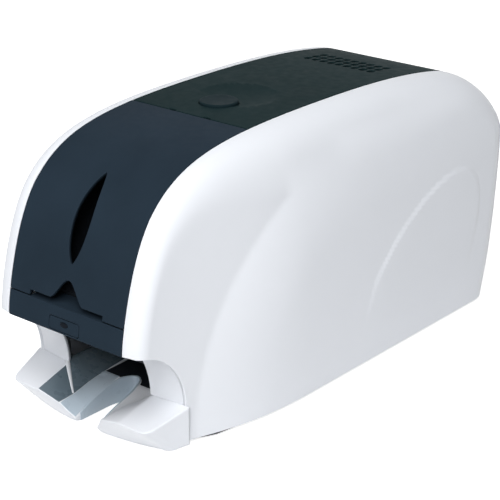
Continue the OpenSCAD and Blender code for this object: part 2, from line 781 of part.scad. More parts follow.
module pickup_roller() { roller([pickup_y, axis_z], 20); }
module pickup_shaft() { shaft([pickup_y, axis_z]); }
module pickup_gear() { gear([pickup_y, axis_z], gear_teeth, 0, shaft_r); }
module feed_roller() { roller([feed_y, axis_z], 26); }
module feed_shaft() { shaft([feed_y, axis_z]); }
module feed_gear() { gear([feed_y, axis_z], gear_teeth, 0, shaft_r); }
module platen_roller() { roller([platen_y, axis_z], 26); }
module platen_shaft() { shaft([platen_y, axis_z]); }
module platen_gear() { gear([platen_y, axis_z], gear_teeth, 0, shaft_r); }
module transport_roller() { roller([transport_y, axis_z], 26); }
module transport_shaft() { shaft([transport_y, axis_z]); }
module transport_gear() { gear([transport_y, axis_z], gear_teeth, 0, shaft_r); }
module exit_roller() { roller(exit_pos, 20); }
module exit_shaft() { shaft(exit_pos); }
module exit_gear() { gear(exit_pos, pinion_teeth, 15, shaft_r); }

idler_axle_r = 2;
module idler_gear(y) { gear([y, axis_z], gear_teeth, half_tooth, idler_axle_r + running_gap); }
module front_idler_gear() { idler_gear(front_idler_y); }
module middle_idler_gear() { idler_gear(middle_idler_y); }
module rear_idler_gear() { idler_gear(rear_idler_y); }

module idler_axles() {
    color("silver") centred() for (y = [front_idler_y, middle_idler_y, rear_idler_y]) {
        bar([y, axis_z], idler_axle_r, -gear_x - gear_w - 0.5, -plate_x);
        bar([y, axis_z], 3.5, -gear_x - gear_w - 1.5, -gear_x - gear_w - 0.4);
    }
}

module cleaning_roller() {
    color([0.35, 0.55, 0.75]) centred() {
        bar(cleaning_pos, cleaning_r, -26, 26);
        bar(cleaning_pos, upper_shaft_r, -plate_x - plate_t - 1, plate_x + plate_t + 1);
    }
}

module pinch_roller() {
    color([0.15, 0.15, 0.16]) centred() {
        bar(pinch_pos, pinch_r, -26, 26);
        bar(pinch_pos, upper_shaft_r, -plate_x - plate_t - 1, plate_x + plate_t + 1);
    }
}

// ---- drive ---------------------------------------------------------------------------------
motor_r = 17;
motor_l = 30;
motor_boss_r = 9;
pinion_r = 2.5;

module drive_motor() {
    color([0.5, 0.52, 0.55]) centred() difference() {
        union() {
            bar(motor_pos, motor_r, -plate_x, -plate_x + motor_l);
            bar(motor_pos, motor_boss_r, -plate_x - plate_t, -plate_x);
        }
        bar(motor_pos, pinion_r + running_gap, -plate_x - 3, -plate_x + 12);
    }
}

module motor_pinion() {
    gear(motor_pos, pinion_teeth, 0, pinion_r);
    color("silver") centred() bar(motor_pos, pinion_r, -gear_x - gear_w, -plate_x + 11);
}

// ---- print head ----------------------------------------------------------------------------
head_half = 27;
post_x = 20;
post_r = 2;
cap_z = 108;

module print_head_bracket() {
    color([0.72, 0.74, 0.76]) centred() difference() {
        union() {
            translate([-24, platen_y - 4, cap_z + 4]) cube([48, 8, top_z - 5 - cap_z - 4]);
            translate([-30, platen_y - 10, cap_z]) cube([60, 20, 4]);
        }
        for (x = [-post_x, post_x])
            translate([x, platen_y, cap_z - 1]) cylinder(r = post_r + running_gap, h = 8);
    }
}

module print_head() {
    color([0.3, 0.3, 0.33]) centred() {
        translate([-head_half, platen_y - 8, 97.4]) cube([2 * head_half, 16, 5.6]);
        translate([-head_half, platen_y - 2, 97.15]) cube([2 * head_half, 4, 1]);
        for (x = [-post_x, post_x])
            translate([x, platen_y, 102]) cylinder(r = post_r, h = cap_z + 3.5 - 102);
    }
}

module print_head_springs() {
    color("silver") centred() for (x = [-post_x, post_x]) translate([x, platen_y, 103]) difference() {
        cylinder(r = 3.4, h = cap_z - 103);
        translate([0, 0, -1]) cylinder(r = 2.6, h = 10);
    }
}

// ---- ribbon --------------------------------------------------------------------------------
spool_pin_r = 3;
guide_places = [[172.5, 99.4], [203.5, 99.4]];
brace_places = [[137, 139], [243, 141]];

module ribbon_cassette() {
    color([0.85, 0.86, 0.88]) centred() difference() {
        union() {
            both_sides() across(cassette_x, cassette_x + cassette_t) {
                translate([134, 124]) square([113, 18]);
                polygon([[144, 125], [168, 96.9], [177, 96.9], [160, 126]]);
                polygon([[232, 125], [208, 96.9], [199, 96.9], [216, 126]]);
            }
            for (p = guide_places) bar(p, 1.5, -cassette_x - 0.5, cassette_x + 0.5);
            for (p = brace_places) bar(p, 2, -cassette_x - 0.5, cassette_x + 0.5);
            both_sides() across(cassette_x + cassette_t, plate_x) translate([182, 129]) square([12, 8]);
        }
        for (p = [supply_pos, takeup_pos]) bar(p, spool_pin_r + running_gap, -strip_half, strip_half);
    }
}

module spool(p, roll_r) {
    color([0.9, 0.9, 0.92]) centred() bar(p, spool_pin_r, -cassette_x - 2.5, cassette_x + 2.5);
    color([0.15, 0.15, 0.4]) centred() bar(p, roll_r, -26, 26);
    color([0.9, 0.9, 0.92]) centred() bar(p, 5, -spool_half - 1, spool_half + 1);
}

module supply_spool() { spool(supply_pos, 13); }
module takeup_spool() { spool(takeup_pos, 10); }

film_path = [[160.4, 135.4], [170.9, 97.2], [184, 96.6], [192, 96.6], [205.1, 97.2], [212.5, 135.4]];
film_t = 0.4;
// Normal of the film at corner i, the mean of its two neighbouring stretches
function film_normal(i) =
    let (a = film_path[max(i - 1, 0)], b = film_path[min(i + 1, 5)], d = b - a) [-d[1], d[0]] / norm(d);

module ribbon_film() {
    color([0.1, 0.1, 0.35]) centred() across(-26, 26) polygon(concat(
        [for (i = [0 : 5]) film_path[i] + film_t / 2 * film_normal(i)],
        [for (i = [5 : -1 : 0]) film_path[i] - film_t / 2 * film_normal(i)]
    ));
}

// ---- electronics ---------------------------------------------------------------------------
module main_board() {
    color([0.1, 0.35, 0.2]) centred() {
        translate([-42, 295, board_z]) cube([84, 101, board_t]);
        for (x = [-38, 38], y = [300, 376])
            translate([x, y, foot_h + wall]) cylinder(r = 3, h = board_z - foot_h - wall);
        translate([-12, 331, socket_z]) cube([22, 22, 2]);
        translate([18, 313, socket_z]) cube([14, 14, 1.6]);
        for (x = [-32, -22]) translate([x, 313, socket_z]) cylinder(r = 4, h = 10);
    }
}

module rear_sockets() {
    color([0.7, 0.71, 0.73]) centred() {
        translate([-30, 0, 0]) difference() {
            translate([-6, socket_back_y, socket_z]) cube([12, socket_y - socket_back_y, 11]);
            translate([-4.2, socket_back_y + 7, socket_z + 1.4]) cube([8.4, 12, 8]);
        }
        translate([-6, 0, 0]) difference() {
            translate([-8, socket_back_y, socket_z]) cube([16, socket_y - socket_back_y, 13.5]);
            translate([-6, socket_back_y + 5, socket_z + 2.5]) cube([12, 14, 8.5]);
        }
        translate([20, 0, socket_z + 5.5]) difference() {
            translate([-4.5, socket_back_y + 2, -5.5]) cube([9, socket_y - socket_back_y - 2, 11]);
            translate([0, socket_back_y + 7, 0]) rotate([-90, 0, 0]) cylinder(r = 3.2, h = 12);
        }
        difference() {
            intersection() {
                along(390, 415) switch_frame2d();
                across(0, 60) skin(4.3, 5, 20, 16);
            }
            along(394.5, 415) switch_frame2d(rocker_w + 1, rocker_h + 1);
            bar(rocker_pos, 1 + running_gap, rocker_x - 20, rocker_x + 20);
        }
    }
}

module power_rocker() {
    color([0.08, 0.08, 0.09]) centred() {
        bar(rocker_pos, 1, rocker_x - 8.2, rocker_x + 8.2);
        across(rocker_x - rocker_w / 2, rocker_x + rocker_w / 2) translate(rocker_pos) rotate(-6)
            polygon([[-3.5, -3], [1, -9], [5.5, -9], [6.4, 0], [5.5, 9], [1, 9], [-3.5, 3]]);
    }
}

left_side_cover();
right_side_cover();
front_cover();
front_cover_pin();
hinge_bridge();
control_panel();
panel_button();
panel_light_lens();
panel_button_spring();
top_cover();
top_cover_pin();
release_button();
release_button_spring();
lid_catch();
rear_panel();
base_pan();
output_tray();
exit_surround();
rubber_feet();
left_chassis_plate();
right_chassis_plate();
tie_rods();
chassis_screws();
card_hopper();
card_bed();
exit_flap();
exit_chute();
pickup_roller();
pickup_shaft();
pickup_gear();
feed_roller();
feed_shaft();
feed_gear();
platen_roller();
platen_shaft();
platen_gear();
transport_roller();
transport_shaft();
transport_gear();
exit_roller();
exit_shaft();
exit_gear();
front_idler_gear();
middle_idler_gear();
rear_idler_gear();
idler_axles();
cleaning_roller();
pinch_roller();
drive_motor();
motor_pinion();
print_head();
print_head_bracket();
print_head_springs();
ribbon_cassette();
supply_spool();
takeup_spool();
ribbon_film();
main_board();
rear_sockets();
power_rocker();
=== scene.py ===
import json
import math

import bmesh
import bpy
import numpy as np
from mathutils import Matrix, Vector
from mathutils.geometry import delaunay_2d_cdt


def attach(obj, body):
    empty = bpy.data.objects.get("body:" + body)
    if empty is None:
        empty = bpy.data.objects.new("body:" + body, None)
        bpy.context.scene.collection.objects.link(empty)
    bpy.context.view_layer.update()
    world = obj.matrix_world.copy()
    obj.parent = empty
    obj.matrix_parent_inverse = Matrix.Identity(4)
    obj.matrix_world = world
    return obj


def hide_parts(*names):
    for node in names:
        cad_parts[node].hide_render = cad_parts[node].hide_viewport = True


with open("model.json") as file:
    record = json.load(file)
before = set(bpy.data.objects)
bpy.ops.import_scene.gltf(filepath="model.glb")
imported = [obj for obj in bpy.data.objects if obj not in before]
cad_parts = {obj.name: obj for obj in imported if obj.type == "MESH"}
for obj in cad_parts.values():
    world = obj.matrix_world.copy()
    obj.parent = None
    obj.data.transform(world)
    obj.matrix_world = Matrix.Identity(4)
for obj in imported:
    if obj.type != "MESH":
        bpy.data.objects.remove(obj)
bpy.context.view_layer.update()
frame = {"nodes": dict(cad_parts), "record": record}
NODES = frame["nodes"]
RECORD = frame["record"]

# ---- sizes in millimetres: X from the middle plane, Y from the front of the housing, Z up ------
MM = 0.001
HOUSING_L = 415
TOP_Z = 202.5
PANEL_Z = 77
STRIP_HALF = 54
COVER_HALF = 53.6
WALL = 2.5
# The gap between two covers, the round gap at the buttons, and the play in a hinge's clearance
SEAM = 0.8
BUTTON_GAP = 0.35
HINGE_PLAY = 0.03
FRONT_W = 139
BODY_W = 182.5
# The swell of the flank: how far it stands out, where it starts and how long it rises, as shares
# of its ellipse, and the ellipse's middle and half axes
SWELL = 8
SWELL_EDGE, SWELL_SPAN = 1.04, 0.36
SWELL_Y, SWELL_Z, SWELL_L, SWELL_H = 235, 2, 180, 178
COVER_BOTTOM = 3
# The arch in the lower front corner of the side covers
ARCH_Y = 42.5
ARCH_Z = 30
SHOULDER_POWER = 2.23
# Places on the outline, as curve numbers
SHOULDER_END_U = 5.4
PANEL_TOP_U = 0.29
LID_FRONT_U = 1.71
LID_REAR_U = 3.3
# Hinge axes in side view, and the bores round their pins
FRONT_AXIS, FRONT_BORE_R = (138, 193), 1.55
LID_AXIS, LID_BORE_R = (366, 177), 2.05
WINDOW_W, WINDOW_H, WINDOW_Z = 15.2, 54.7, 152
SLOT_W, SLOT_TOP = 68, 99.4
NOTCH_W, NOTCH_H = 34, 14.6
BUTTON_W, BUTTON_H, BUTTON_Z = 28, 9, 83
LENS_W, LENS_H, LENS_Z = 7.5, 3.6, 83.8
RELEASE_Y, RELEASE_R = 159, 14
DISH_Y, DISH_R, DISH_DEPTH = 177, 31, 2.5
VENT_L, VENT_W = 8.2, 5.0
VENT_COLUMNS = [-30 + 7.5 * i for i in range(9)]
VENT_ROWS = (300, 310, 320)
# Small cuts in the front edge of the lid
CUT_X, CUT_HALF, CUT_DEPTH = 16, 3, 1.5
FLANGE_X, FLANGE_W, FLANGE_DEPTH = 50, 2, 7
# Openings in the back as x, z, width, height and corner radius
SOCKET_HOLES = ((-30, 19.1, 12.6, 11.6, 0.8), (-6, 20.35, 16.6, 14.1, 0.8), (20, 19.1, 9.6, 11.6, 0.8),
                (36, 45, 17.6, 23.6, 1.2))
# Side view of the strip from the panel over the top to the foot of the back, as cubic curves
OUTLINE = (
    ((0, PANEL_Z), (0, 87), (10, 144), (32, 167.5)),
    ((32, 167.5), (59, 196), (96, TOP_Z), (205, TOP_Z)),
    ((205, TOP_Z), (261, TOP_Z), (307, 200.5), (349, 193.5)),
    ((349, 193.5), (393.4, 186.1), (HOUSING_L, 155), (HOUSING_L, 143)),
    ((HOUSING_L, 143), (HOUSING_L, 115), (411.5, 52), (400.1, 12)),
    ((400.1, 12), (398.4, 6), (395.5, COVER_BOTTOM), (390, COVER_BOTTOM)),
)


def to_frame(points):
    """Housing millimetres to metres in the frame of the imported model."""
    return (np.asarray(points, float) - (0, HOUSING_L / 2, 0)) * MM


def smooth(t):
    """A soft step from 0 to 1."""
    t = np.clip(t, 0, 1)
    return t * t * (3 - 2 * t)


def unit(rows):
    """The rows of an array scaled to a length of one."""
    return rows / np.linalg.norm(rows, axis=1)[:, None]


def square_to(ways, normal):
    """Unit directions, with what they share with the normals taken out."""
    return unit(ways - np.sum(ways * normal, axis=1)[:, None] * normal)


def pairs(rows):
    return [tuple(row) for row in rows]


# ---- the outline of the dark strip, as a table over the curve number u -------------------------
def bezier(u):
    """Points and unit tangents [Y, Z] of the outline at curve numbers u."""
    k = np.minimum(u.astype(int), len(OUTLINE) - 1)
    t = (u - k)[:, None]
    a, b, c, d = (np.array([OUTLINE[i][j] for i in k], float) for j in range(4))
    point = (1 - t) ** 3 * a + 3 * (1 - t) ** 2 * t * b + 3 * (1 - t) * t**2 * c + t**3 * d
    slope = 3 * (1 - t) ** 2 * (b - a) + 6 * (1 - t) * t * (c - b) + 3 * t**2 * (d - c)
    return point, unit(slope)


TABLE_U = np.linspace(0, len(OUTLINE), 3001)
TABLE_P = bezier(TABLE_U)[0]
TABLE_S = np.concatenate([[0], np.cumsum(np.linalg.norm(np.diff(TABLE_P, axis=0), axis=1))])


def length_at(u):
    """Length along the outline at curve number u."""
    return float(np.interp(u, TABLE_U, TABLE_S))


def length_at_height(z):
    """Length along the outline where its front part has height z."""
    front = TABLE_U <= 1.5
    return np.interp(z, TABLE_P[front, 1], TABLE_S[front])


def length_at_depth(y):
    """Length along the outline where its top has depth y."""
    top = (TABLE_U >= 1) & (TABLE_U <= 3.2)
    return np.interp(y, TABLE_P[top, 0], TABLE_S[top])


def length_at_back(z):
    """Length along the outline where its back has height z."""
    back = TABLE_U >= 4
    return np.interp(-z, -TABLE_P[back, 1], TABLE_S[back])


def sweep_radius(u, axis, side):
    """Distance from a hinge axis to the far edge of the gap at curve number u."""
    s = length_at(u) + side * SEAM / 2
    edge = bezier(np.array([np.interp(s, TABLE_S, TABLE_U)]))[0][0]
    return math.dist(edge, axis) - HINGE_PLAY


def outside(points, axis, radius):
    """Points [X, Y, Z] moved straight away from a hinge axis where they are too near to it."""
    points = np.array(points, float)
    away = points[:, 1:] - axis
    far = np.maximum(np.linalg.norm(away, axis=1), 1e-6)
    near = far < radius
    points[near, 1:] = axis + away[near] * (radius / far[near])[:, None]
    return points


def strip_surface(flat, dip):
    """Points, normals and tangents of the strip at flat places [length along the outline, X]."""
    u = np.interp(flat[:, 0], TABLE_S, TABLE_U)
    p, t = bezier(u)
    zero = np.zeros(len(flat))
    normal = np.column_stack([zero, -t[:, 1], t[:, 0]])
    tangent = np.column_stack([zero, t[:, 0], t[:, 1]])
    point = np.column_stack([flat[:, 1], p[:, 0], p[:, 1]])
    if dip is not None:
        point, normal = dip(point, normal)
    return point, normal, tangent


# ---- plane outlines ----------------------------------------------------------------------------
def resample(loop, step):
    """A closed loop with its long edges cut into pieces of about step."""
    points = []
    for a, b in zip(loop, loop[1:] + loop[:1]):
        count = max(1, round(math.dist(a, b) / step))
        points += [tuple(np.add(a, np.subtract(b, a) * i / count)) for i in range(count)]
    return points


def arc(centre, radius, start, end, count):
    """Points on a circle from the start angle to the end angle, in degrees."""
    return [(centre[0] + radius * math.cos(a), centre[1] + radius * math.sin(a))
            for a in np.radians(np.linspace(start, end, count))]


def rounded_box(across, along, half_across, half_along, radius, step):
    """A counterclockwise rectangle with round corners, its edges cut into short pieces."""
    points = []
    for quarter, (a, b) in enumerate(((-1, -1), (1, -1), (1, 1), (-1, 1))):
        middle = (across + a * (half_across - radius), along + b * (half_along - radius))
        points += arc(middle, radius, 180 + 90 * quarter, 270 + 90 * quarter, 6)
    return resample(points, step)


def circle_loop(radius, count):
    return [(radius * math.cos(a), radius * math.sin(a))
            for a in np.linspace(0, 2 * math.pi, count, endpoint=False)]


def lens_loop(middle, width, height):
    """A slim almond shape [X, Z] with small round ends."""
    count = 28
    ends = [math.sin(math.pi / 2 * (2 * i / count - 1)) for i in range(count)]
    side = [(width / 2 * (1 - t * t) ** 0.72, height / 2 * t) for t in ends]
    return [(x, middle + z) for x, z in side + [(-x, -z) for x, z in side]]


def inset(loop, distance):
    """The loop moved to its left, which is inwards for a counterclockwise one, and the ways left."""
    p = np.array(loop, float)
    ahead, behind = np.roll(p, -1, axis=0) - p, p - np.roll(p, 1, axis=0)
    ahead, behind = unit(ahead), unit(behind)
    left = unit(np.column_stack([-(ahead + behind)[:, 1], (ahead + behind)[:, 0]]))
    share = np.einsum("ij,ij->i", left, np.column_stack([-ahead[:, 1], ahead[:, 0]]))
    return p + left * distance / np.maximum(share, 0.5)[:, None], left


def inside(points, loop):
    """Whether each point is inside the closed loop."""
    x, y = points[:, 0][:, None], points[:, 1][:, None]
    a = np.array(loop, float)
    b = np.roll(a, -1, axis=0)
    crosses = (a[:, 1] > y) != (b[:, 1] > y)
    rise = np.where(b[:, 1] == a[:, 1], 1, b[:, 1] - a[:, 1])
    return (np.sum(crosses & (x < a[:, 0] + (y - a[:, 1]) * (b[:, 0] - a[:, 0]) / rise), axis=1) % 2) == 1


def gap_to(points, loop, closed=True):
    """Distance of each point from a line of points."""
    a = np.array(loop, float)
    b = np.roll(a, -1, axis=0)
    if not closed:
        a, b = a[:-1], b[:-1]
    nearest = np.full(len(points), 1e9)
    for start in range(0, len(points), 2000):
        p = points[start:start + 2000, None]
        d = b - a
        t = np.clip(np.sum((p - a) * d, axis=2) / np.maximum(np.sum(d * d, axis=1), 1e-12), 0, 1)
        nearest[start:start + 2000] = np.min(np.linalg.norm(p - a - t[..., None] * d, axis=2), axis=1)
    return nearest


def triangulate(loops, inner=()):
    """Points and triangles inside the first loop and outside the others, and where each input went."""
    points = [tuple(p) for loop in loops for p in loop] + pairs(inner)
    edges = []
    start = 0
    for loop in loops:
        n = len(loop)
        edges += [(start + i, start + (i + 1) % n) for i in range(n)]
        start += n
    found = delaunay_2d_cdt([Vector(p) for p in points], edges, [], 0, 1e-6)
    flat = np.array([tuple(v) for v in found[0]])
    faces = np.array([f for f in found[2] if len(f) == 3])
    centre = flat[faces].mean(axis=1)
    keep = inside(centre, loops[0])
    for hole in loops[1:]:
        keep &= ~inside(centre, hole)
    place = {}
    for new, old in enumerate(found[3]):
        for index in old:
            place[index] = new
    return flat, faces[keep], [place[i] for i in range(len(points))]


# ---- pieces ------------------------------------------------------------------------------------
def new_piece(name, body, slot, verts, faces, nodes, normals=None, sharp=None, material=None):
    """A closed mesh piece, smooth shaded, that rides on a body."""
    mesh = bpy.data.meshes.new(name)
    mesh.from_pydata(pairs(verts), [], pairs(faces))
    work = bmesh.new()
    work.from_mesh(mesh)
    bmesh.ops.recalc_face_normals(work, faces=work.faces)
    work.to_mesh(mesh)
    work.free()
    mesh.polygons.foreach_set("use_smooth", [True] * len(mesh.polygons))
    if sharp:
        mesh.set_sharp_from_angle(angle=math.radians(sharp))
    if normals is not None:
        mesh.normals_split_custom_set_from_vertices(pairs(normals))
    mesh.materials.append(material or SLOT_MATERIALS[slot])
    piece = bpy.data.objects.new(name, mesh)
    bpy.context.scene.collection.objects.link(piece)
    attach(piece, body)
    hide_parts(*nodes)
    return piece


def area(loop):
    """Area inside a loop, below zero where it runs clockwise."""
    p = np.array(loop)
    q = np.roll(p, -1, axis=0)
    return float(np.sum(p[:, 0] * q[:, 1] - p[:, 1] * q[:, 0]) / 2)


def oriented(loop, sign):
    """The loop counterclockwise for a sign of 1 and clockwise for -1."""
    return loop if area(loop) * sign > 0 else loop[::-1]


def ring_faces(low, high):
    """Four-sided faces between two closed rings of point numbers."""
    return list(zip(low, np.roll(low, -1), np.roll(high, -1), high))


def tube_faces(rows, count):
    """Faces of a closed tube of rings with count points each."""
    rings = [np.arange(count) + row * count for row in range(rows)]
    faces = [rings[0], rings[-1]]
    for low, high in zip(rings, rings[1:]):
        faces += ring_faces(low, high)
    return faces


def shell(name, body, slot, point, normal, faces, rims, thickness, rounding, nodes, clear=None,
          material=None):
    """A thin closed shell. rims are closed lines of point numbers, each with the directions that
    lead out of the surface there; the edge is rounded along them."""
    verts, normals = list(point), list(normal)
    count = len(point)
    verts += list(point - thickness * normal)
    normals += [np.zeros(3)] * count
    quads = []
    arc_steps = 4
    for numbers, outward in rims:
        rings = [np.array(numbers)]
        p, n = point[numbers], normal[numbers]
        for a in np.linspace(0, math.pi / 2, arc_steps + 1)[1:]:
            rings.append(np.arange(len(numbers)) + len(verts))
            verts += list(p + rounding * (math.sin(a) * outward - (1 - math.cos(a)) * n))
            normals += list(math.cos(a) * n + math.sin(a) * outward)
        rings.append(np.arange(len(numbers)) + len(verts))
        verts += list(p + rounding * outward - thickness * n)
        normals += [np.zeros(3)] * len(numbers)
        rings.append(np.array(numbers) + count)
        for low, high in zip(rings, rings[1:]):
            quads += ring_faces(low, high)
    under = faces[:, ::-1] + count
    if clear:
        verts = outside(verts, *clear)
    new_piece(name, body, slot, to_frame(verts), pairs(faces) + pairs(under) + quads, nodes, normals,
              material=material)


def strip_cover(name, body, slot, outer, holes, nodes, dip=None, thickness=WALL, rounding=0.5, step=3.0,
                clear=None):
    """A cover on the strip. Its loops are [length along the outline, X] at the real edges."""
    edges = [oriented(outer, 1)] + [oriented(hole, -1) for hole in holes]
    loops, lefts = zip(*(inset(loop, rounding) for loop in edges))
    low, high = np.vstack(loops).min(axis=0), np.vstack(loops).max(axis=0)
    grid = np.array([(s, x) for s in np.arange(low[0] + step / 2, high[0], step)
                     for x in np.arange(low[1] + step / 2, high[1], step)])
    keep = inside(grid, loops[0])
    for hole in loops[1:]:
        keep &= ~inside(grid, hole)
    for loop in loops:
        keep &= gap_to(grid, loop) > step * 0.45
    flat, faces, place = triangulate(loops, grid[keep])
    point, normal, tangent = strip_surface(flat, dip)
    rims = []
    start = 0
    for loop, left in zip(loops, lefts):
        numbers = [place[start + i] for i in range(len(loop))]
        out = -left[:, :1] * tangent[numbers] - left[:, 1:] * np.array([[1.0, 0, 0]])
        rims.append((numbers, out))
        start += len(loop)
    shell(name, body, slot, point, normal, faces, rims, thickness, rounding, nodes, clear)


def extrusion(name, body, slot, parts, nodes, bevel=0.3):
    """Flat plates across X. A part is its side-view loops, the outline first, and its two X."""
    verts, faces = [], []
    for loops, x0, x1 in parts:
        flat, cap, place = triangulate(loops)
        start, count = len(verts), len(flat)
        verts += [(x, y, z) for x in (x0, x1) for y, z in flat]
        faces += pairs(cap + start) + pairs(cap[:, ::-1] + start + count)
        first = 0
        for loop in loops:
            ring = np.array(place[first:first + len(loop)]) + start
            faces += ring_faces(ring, ring + count)
            first += len(loop)
    soften(new_piece(name, body, slot, to_frame(verts), faces, nodes), bevel)


def soften(piece, width):
    """Rounded edges of the given width in millimetres, with even shading on the flats."""
    bevel = piece.modifiers.new("edges", "BEVEL")
    bevel.width = width * MM
    bevel.segments = 2
    bevel.limit_method = "ANGLE"
    bevel.angle_limit = math.radians(35)
    shade = piece.modifiers.new("shading", "WEIGHTED_NORMAL")
    shade.keep_sharp = False


def mirrored(parts):
    """The parts, and the same on the left side."""
    return parts + [(loops, -x1, -x0) for loops, x0, x1 in parts]


def rectangle(y0, z0, y1, z1):
    return [(y0, z0), (y1, z0), (y1, z1), (y0, z1)]


def rib(u0, u1, depth, axis, radius):
    """Side view of a flange under the strip that stays clear of a hinge."""
    u = np.linspace(u0, u1, 60)
    p, t = bezier(u)
    inward = np.column_stack([t[:, 1], -t[:, 0]])
    lap, play = 0.4, 0.2
    top, low = p + (WALL - lap) * inward, p + depth * inward
    keep = np.linalg.norm(top - axis, axis=1) > radius + play
    low = outside(np.column_stack([0 * u, low]), axis, radius)[:, 1:]
    return pairs(top[keep]) + pairs(low[keep][::-1])


# ---- materials ---------------------------------------------------------------------------------
# Noise values that are spread over a whole range of colour or roughness
NOISE_SPAN = (0.3, 0.7)


def node_material(name):
    """A new material with its nodes, its links and its shader."""
    material = bpy.data.materials.new(name)
    material.use_nodes = True
    tree = material.node_tree
    return material, tree.nodes, tree.links, tree.nodes["Principled BSDF"]


def noise(nodes, links, scale, detail=3.0, stretch=(1, 1, 1)):
    """Object-space noise, its scale in waves per metre."""
    coords = nodes.new("ShaderNodeTexCoord")
    mapping = nodes.new("ShaderNodeMapping")
    mapping.inputs["Scale"].default_value = stretch
    texture = nodes.new("ShaderNodeTexNoise")
    texture.inputs["Scale"].default_value = scale
    texture.inputs["Detail"].default_value = detail
    links.new(coords.outputs["Object"], mapping.inputs["Vector"])
    links.new(mapping.outputs["Vector"], texture.inputs["Vector"])
    return texture.outputs["Fac"]


def blend_colours(nodes, links, factor, dark, light):
    ramp = nodes.new("ShaderNodeValToRGB")
    for element, position, colour in zip(ramp.color_ramp.elements, NOISE_SPAN, (dark, light)):
        element.position = position
        element.color = (*colour, 1)
    links.new(factor, ramp.inputs["Fac"])
    return ramp.outputs["Color"]


def map_range(nodes, links, factor, low, high):
    node = nodes.new("ShaderNodeMapRange")
    for socket, value in zip(("From Min", "From Max", "To Min", "To Max"), (*NOISE_SPAN, low, high)):
        node.inputs[socket].default_value = value
    links.new(factor, node.inputs["Value"])
    return node.outputs["Result"]


def add_bump(nodes, links, shader, height, strength, distance):
    bump = nodes.new("ShaderNodeBump")
    bump.inputs["Strength"].default_value = strength
    bump.inputs["Distance"].default_value = distance
    links.new(height, bump.inputs["Height"])
    links.new(bump.outputs["Normal"], shader.inputs["Normal"])


def plastic(name, colour, spread, rough, grain, bump, depth=0.00004, coat=0.0, shine=0.5):
    """Moulded plastic: a grain in waves per metre, cloudy roughness and a slight change of tone."""
    material, nodes, links, shader = node_material(name)
    dark = tuple(c * (1 - spread) for c in colour)
    light = tuple(min(1, c * (1 + spread)) for c in colour)
    cloud = noise(nodes, links, 22, 4)
    links.new(blend_colours(nodes, links, cloud, dark, light), shader.inputs["Base Color"])
    patches = noise(nodes, links, 160, 3)
    links.new(map_range(nodes, links, patches, *rough), shader.inputs["Roughness"])
    add_bump(nodes, links, shader, noise(nodes, links, grain, 2), bump, depth)
    shader.inputs["Coat Weight"].default_value = coat
    shader.inputs["Coat Roughness"].default_value = 0.08
    shader.inputs["Specular IOR Level"].default_value = shine
    return material


def metal(name, colour, rough, stretch=(1, 1, 1)):
    """Bare or plated metal, with brush marks along the axis where stretch is small."""
    material, nodes, links, shader = node_material(name)
    lines = noise(nodes, links, 900, 3, stretch)
    dark = tuple(c * 0.85 for c in colour)
    links.new(blend_colours(nodes, links, lines, dark, colour), shader.inputs["Base Color"])
    links.new(map_range(nodes, links, lines, *rough), shader.inputs["Roughness"])
    add_bump(nodes, links, shader, lines, 0.15, 0.00003)
    shader.inputs["Metallic"].default_value = 1.0
    return material


def board():
    """Solder mask over rows of tracks."""
    material, nodes, links, shader = node_material("solder_mask")
    coords = nodes.new("ShaderNodeTexCoord")
    tracks = nodes.new("ShaderNodeTexBrick")
    tracks.inputs["Scale"].default_value = 180
    tracks.inputs["Mortar Size"].default_value = 0.03
    tracks.inputs["Color1"].default_value = (0.015, 0.10, 0.045, 1)
    tracks.inputs["Color2"].default_value = (0.02, 0.13, 0.055, 1)
    tracks.inputs["Mortar"].default_value = (0.03, 0.22, 0.10, 1)
    links.new(coords.outputs["Object"], tracks.inputs["Vector"])
    links.new(tracks.outputs["Color"], shader.inputs["Base Color"])
    links.new(map_range(nodes, links, noise(nodes, links, 300), 0.25, 0.4), shader.inputs["Roughness"])
    add_bump(nodes, links, shader, tracks.outputs["Fac"], 0.3, 0.0001)
    return material


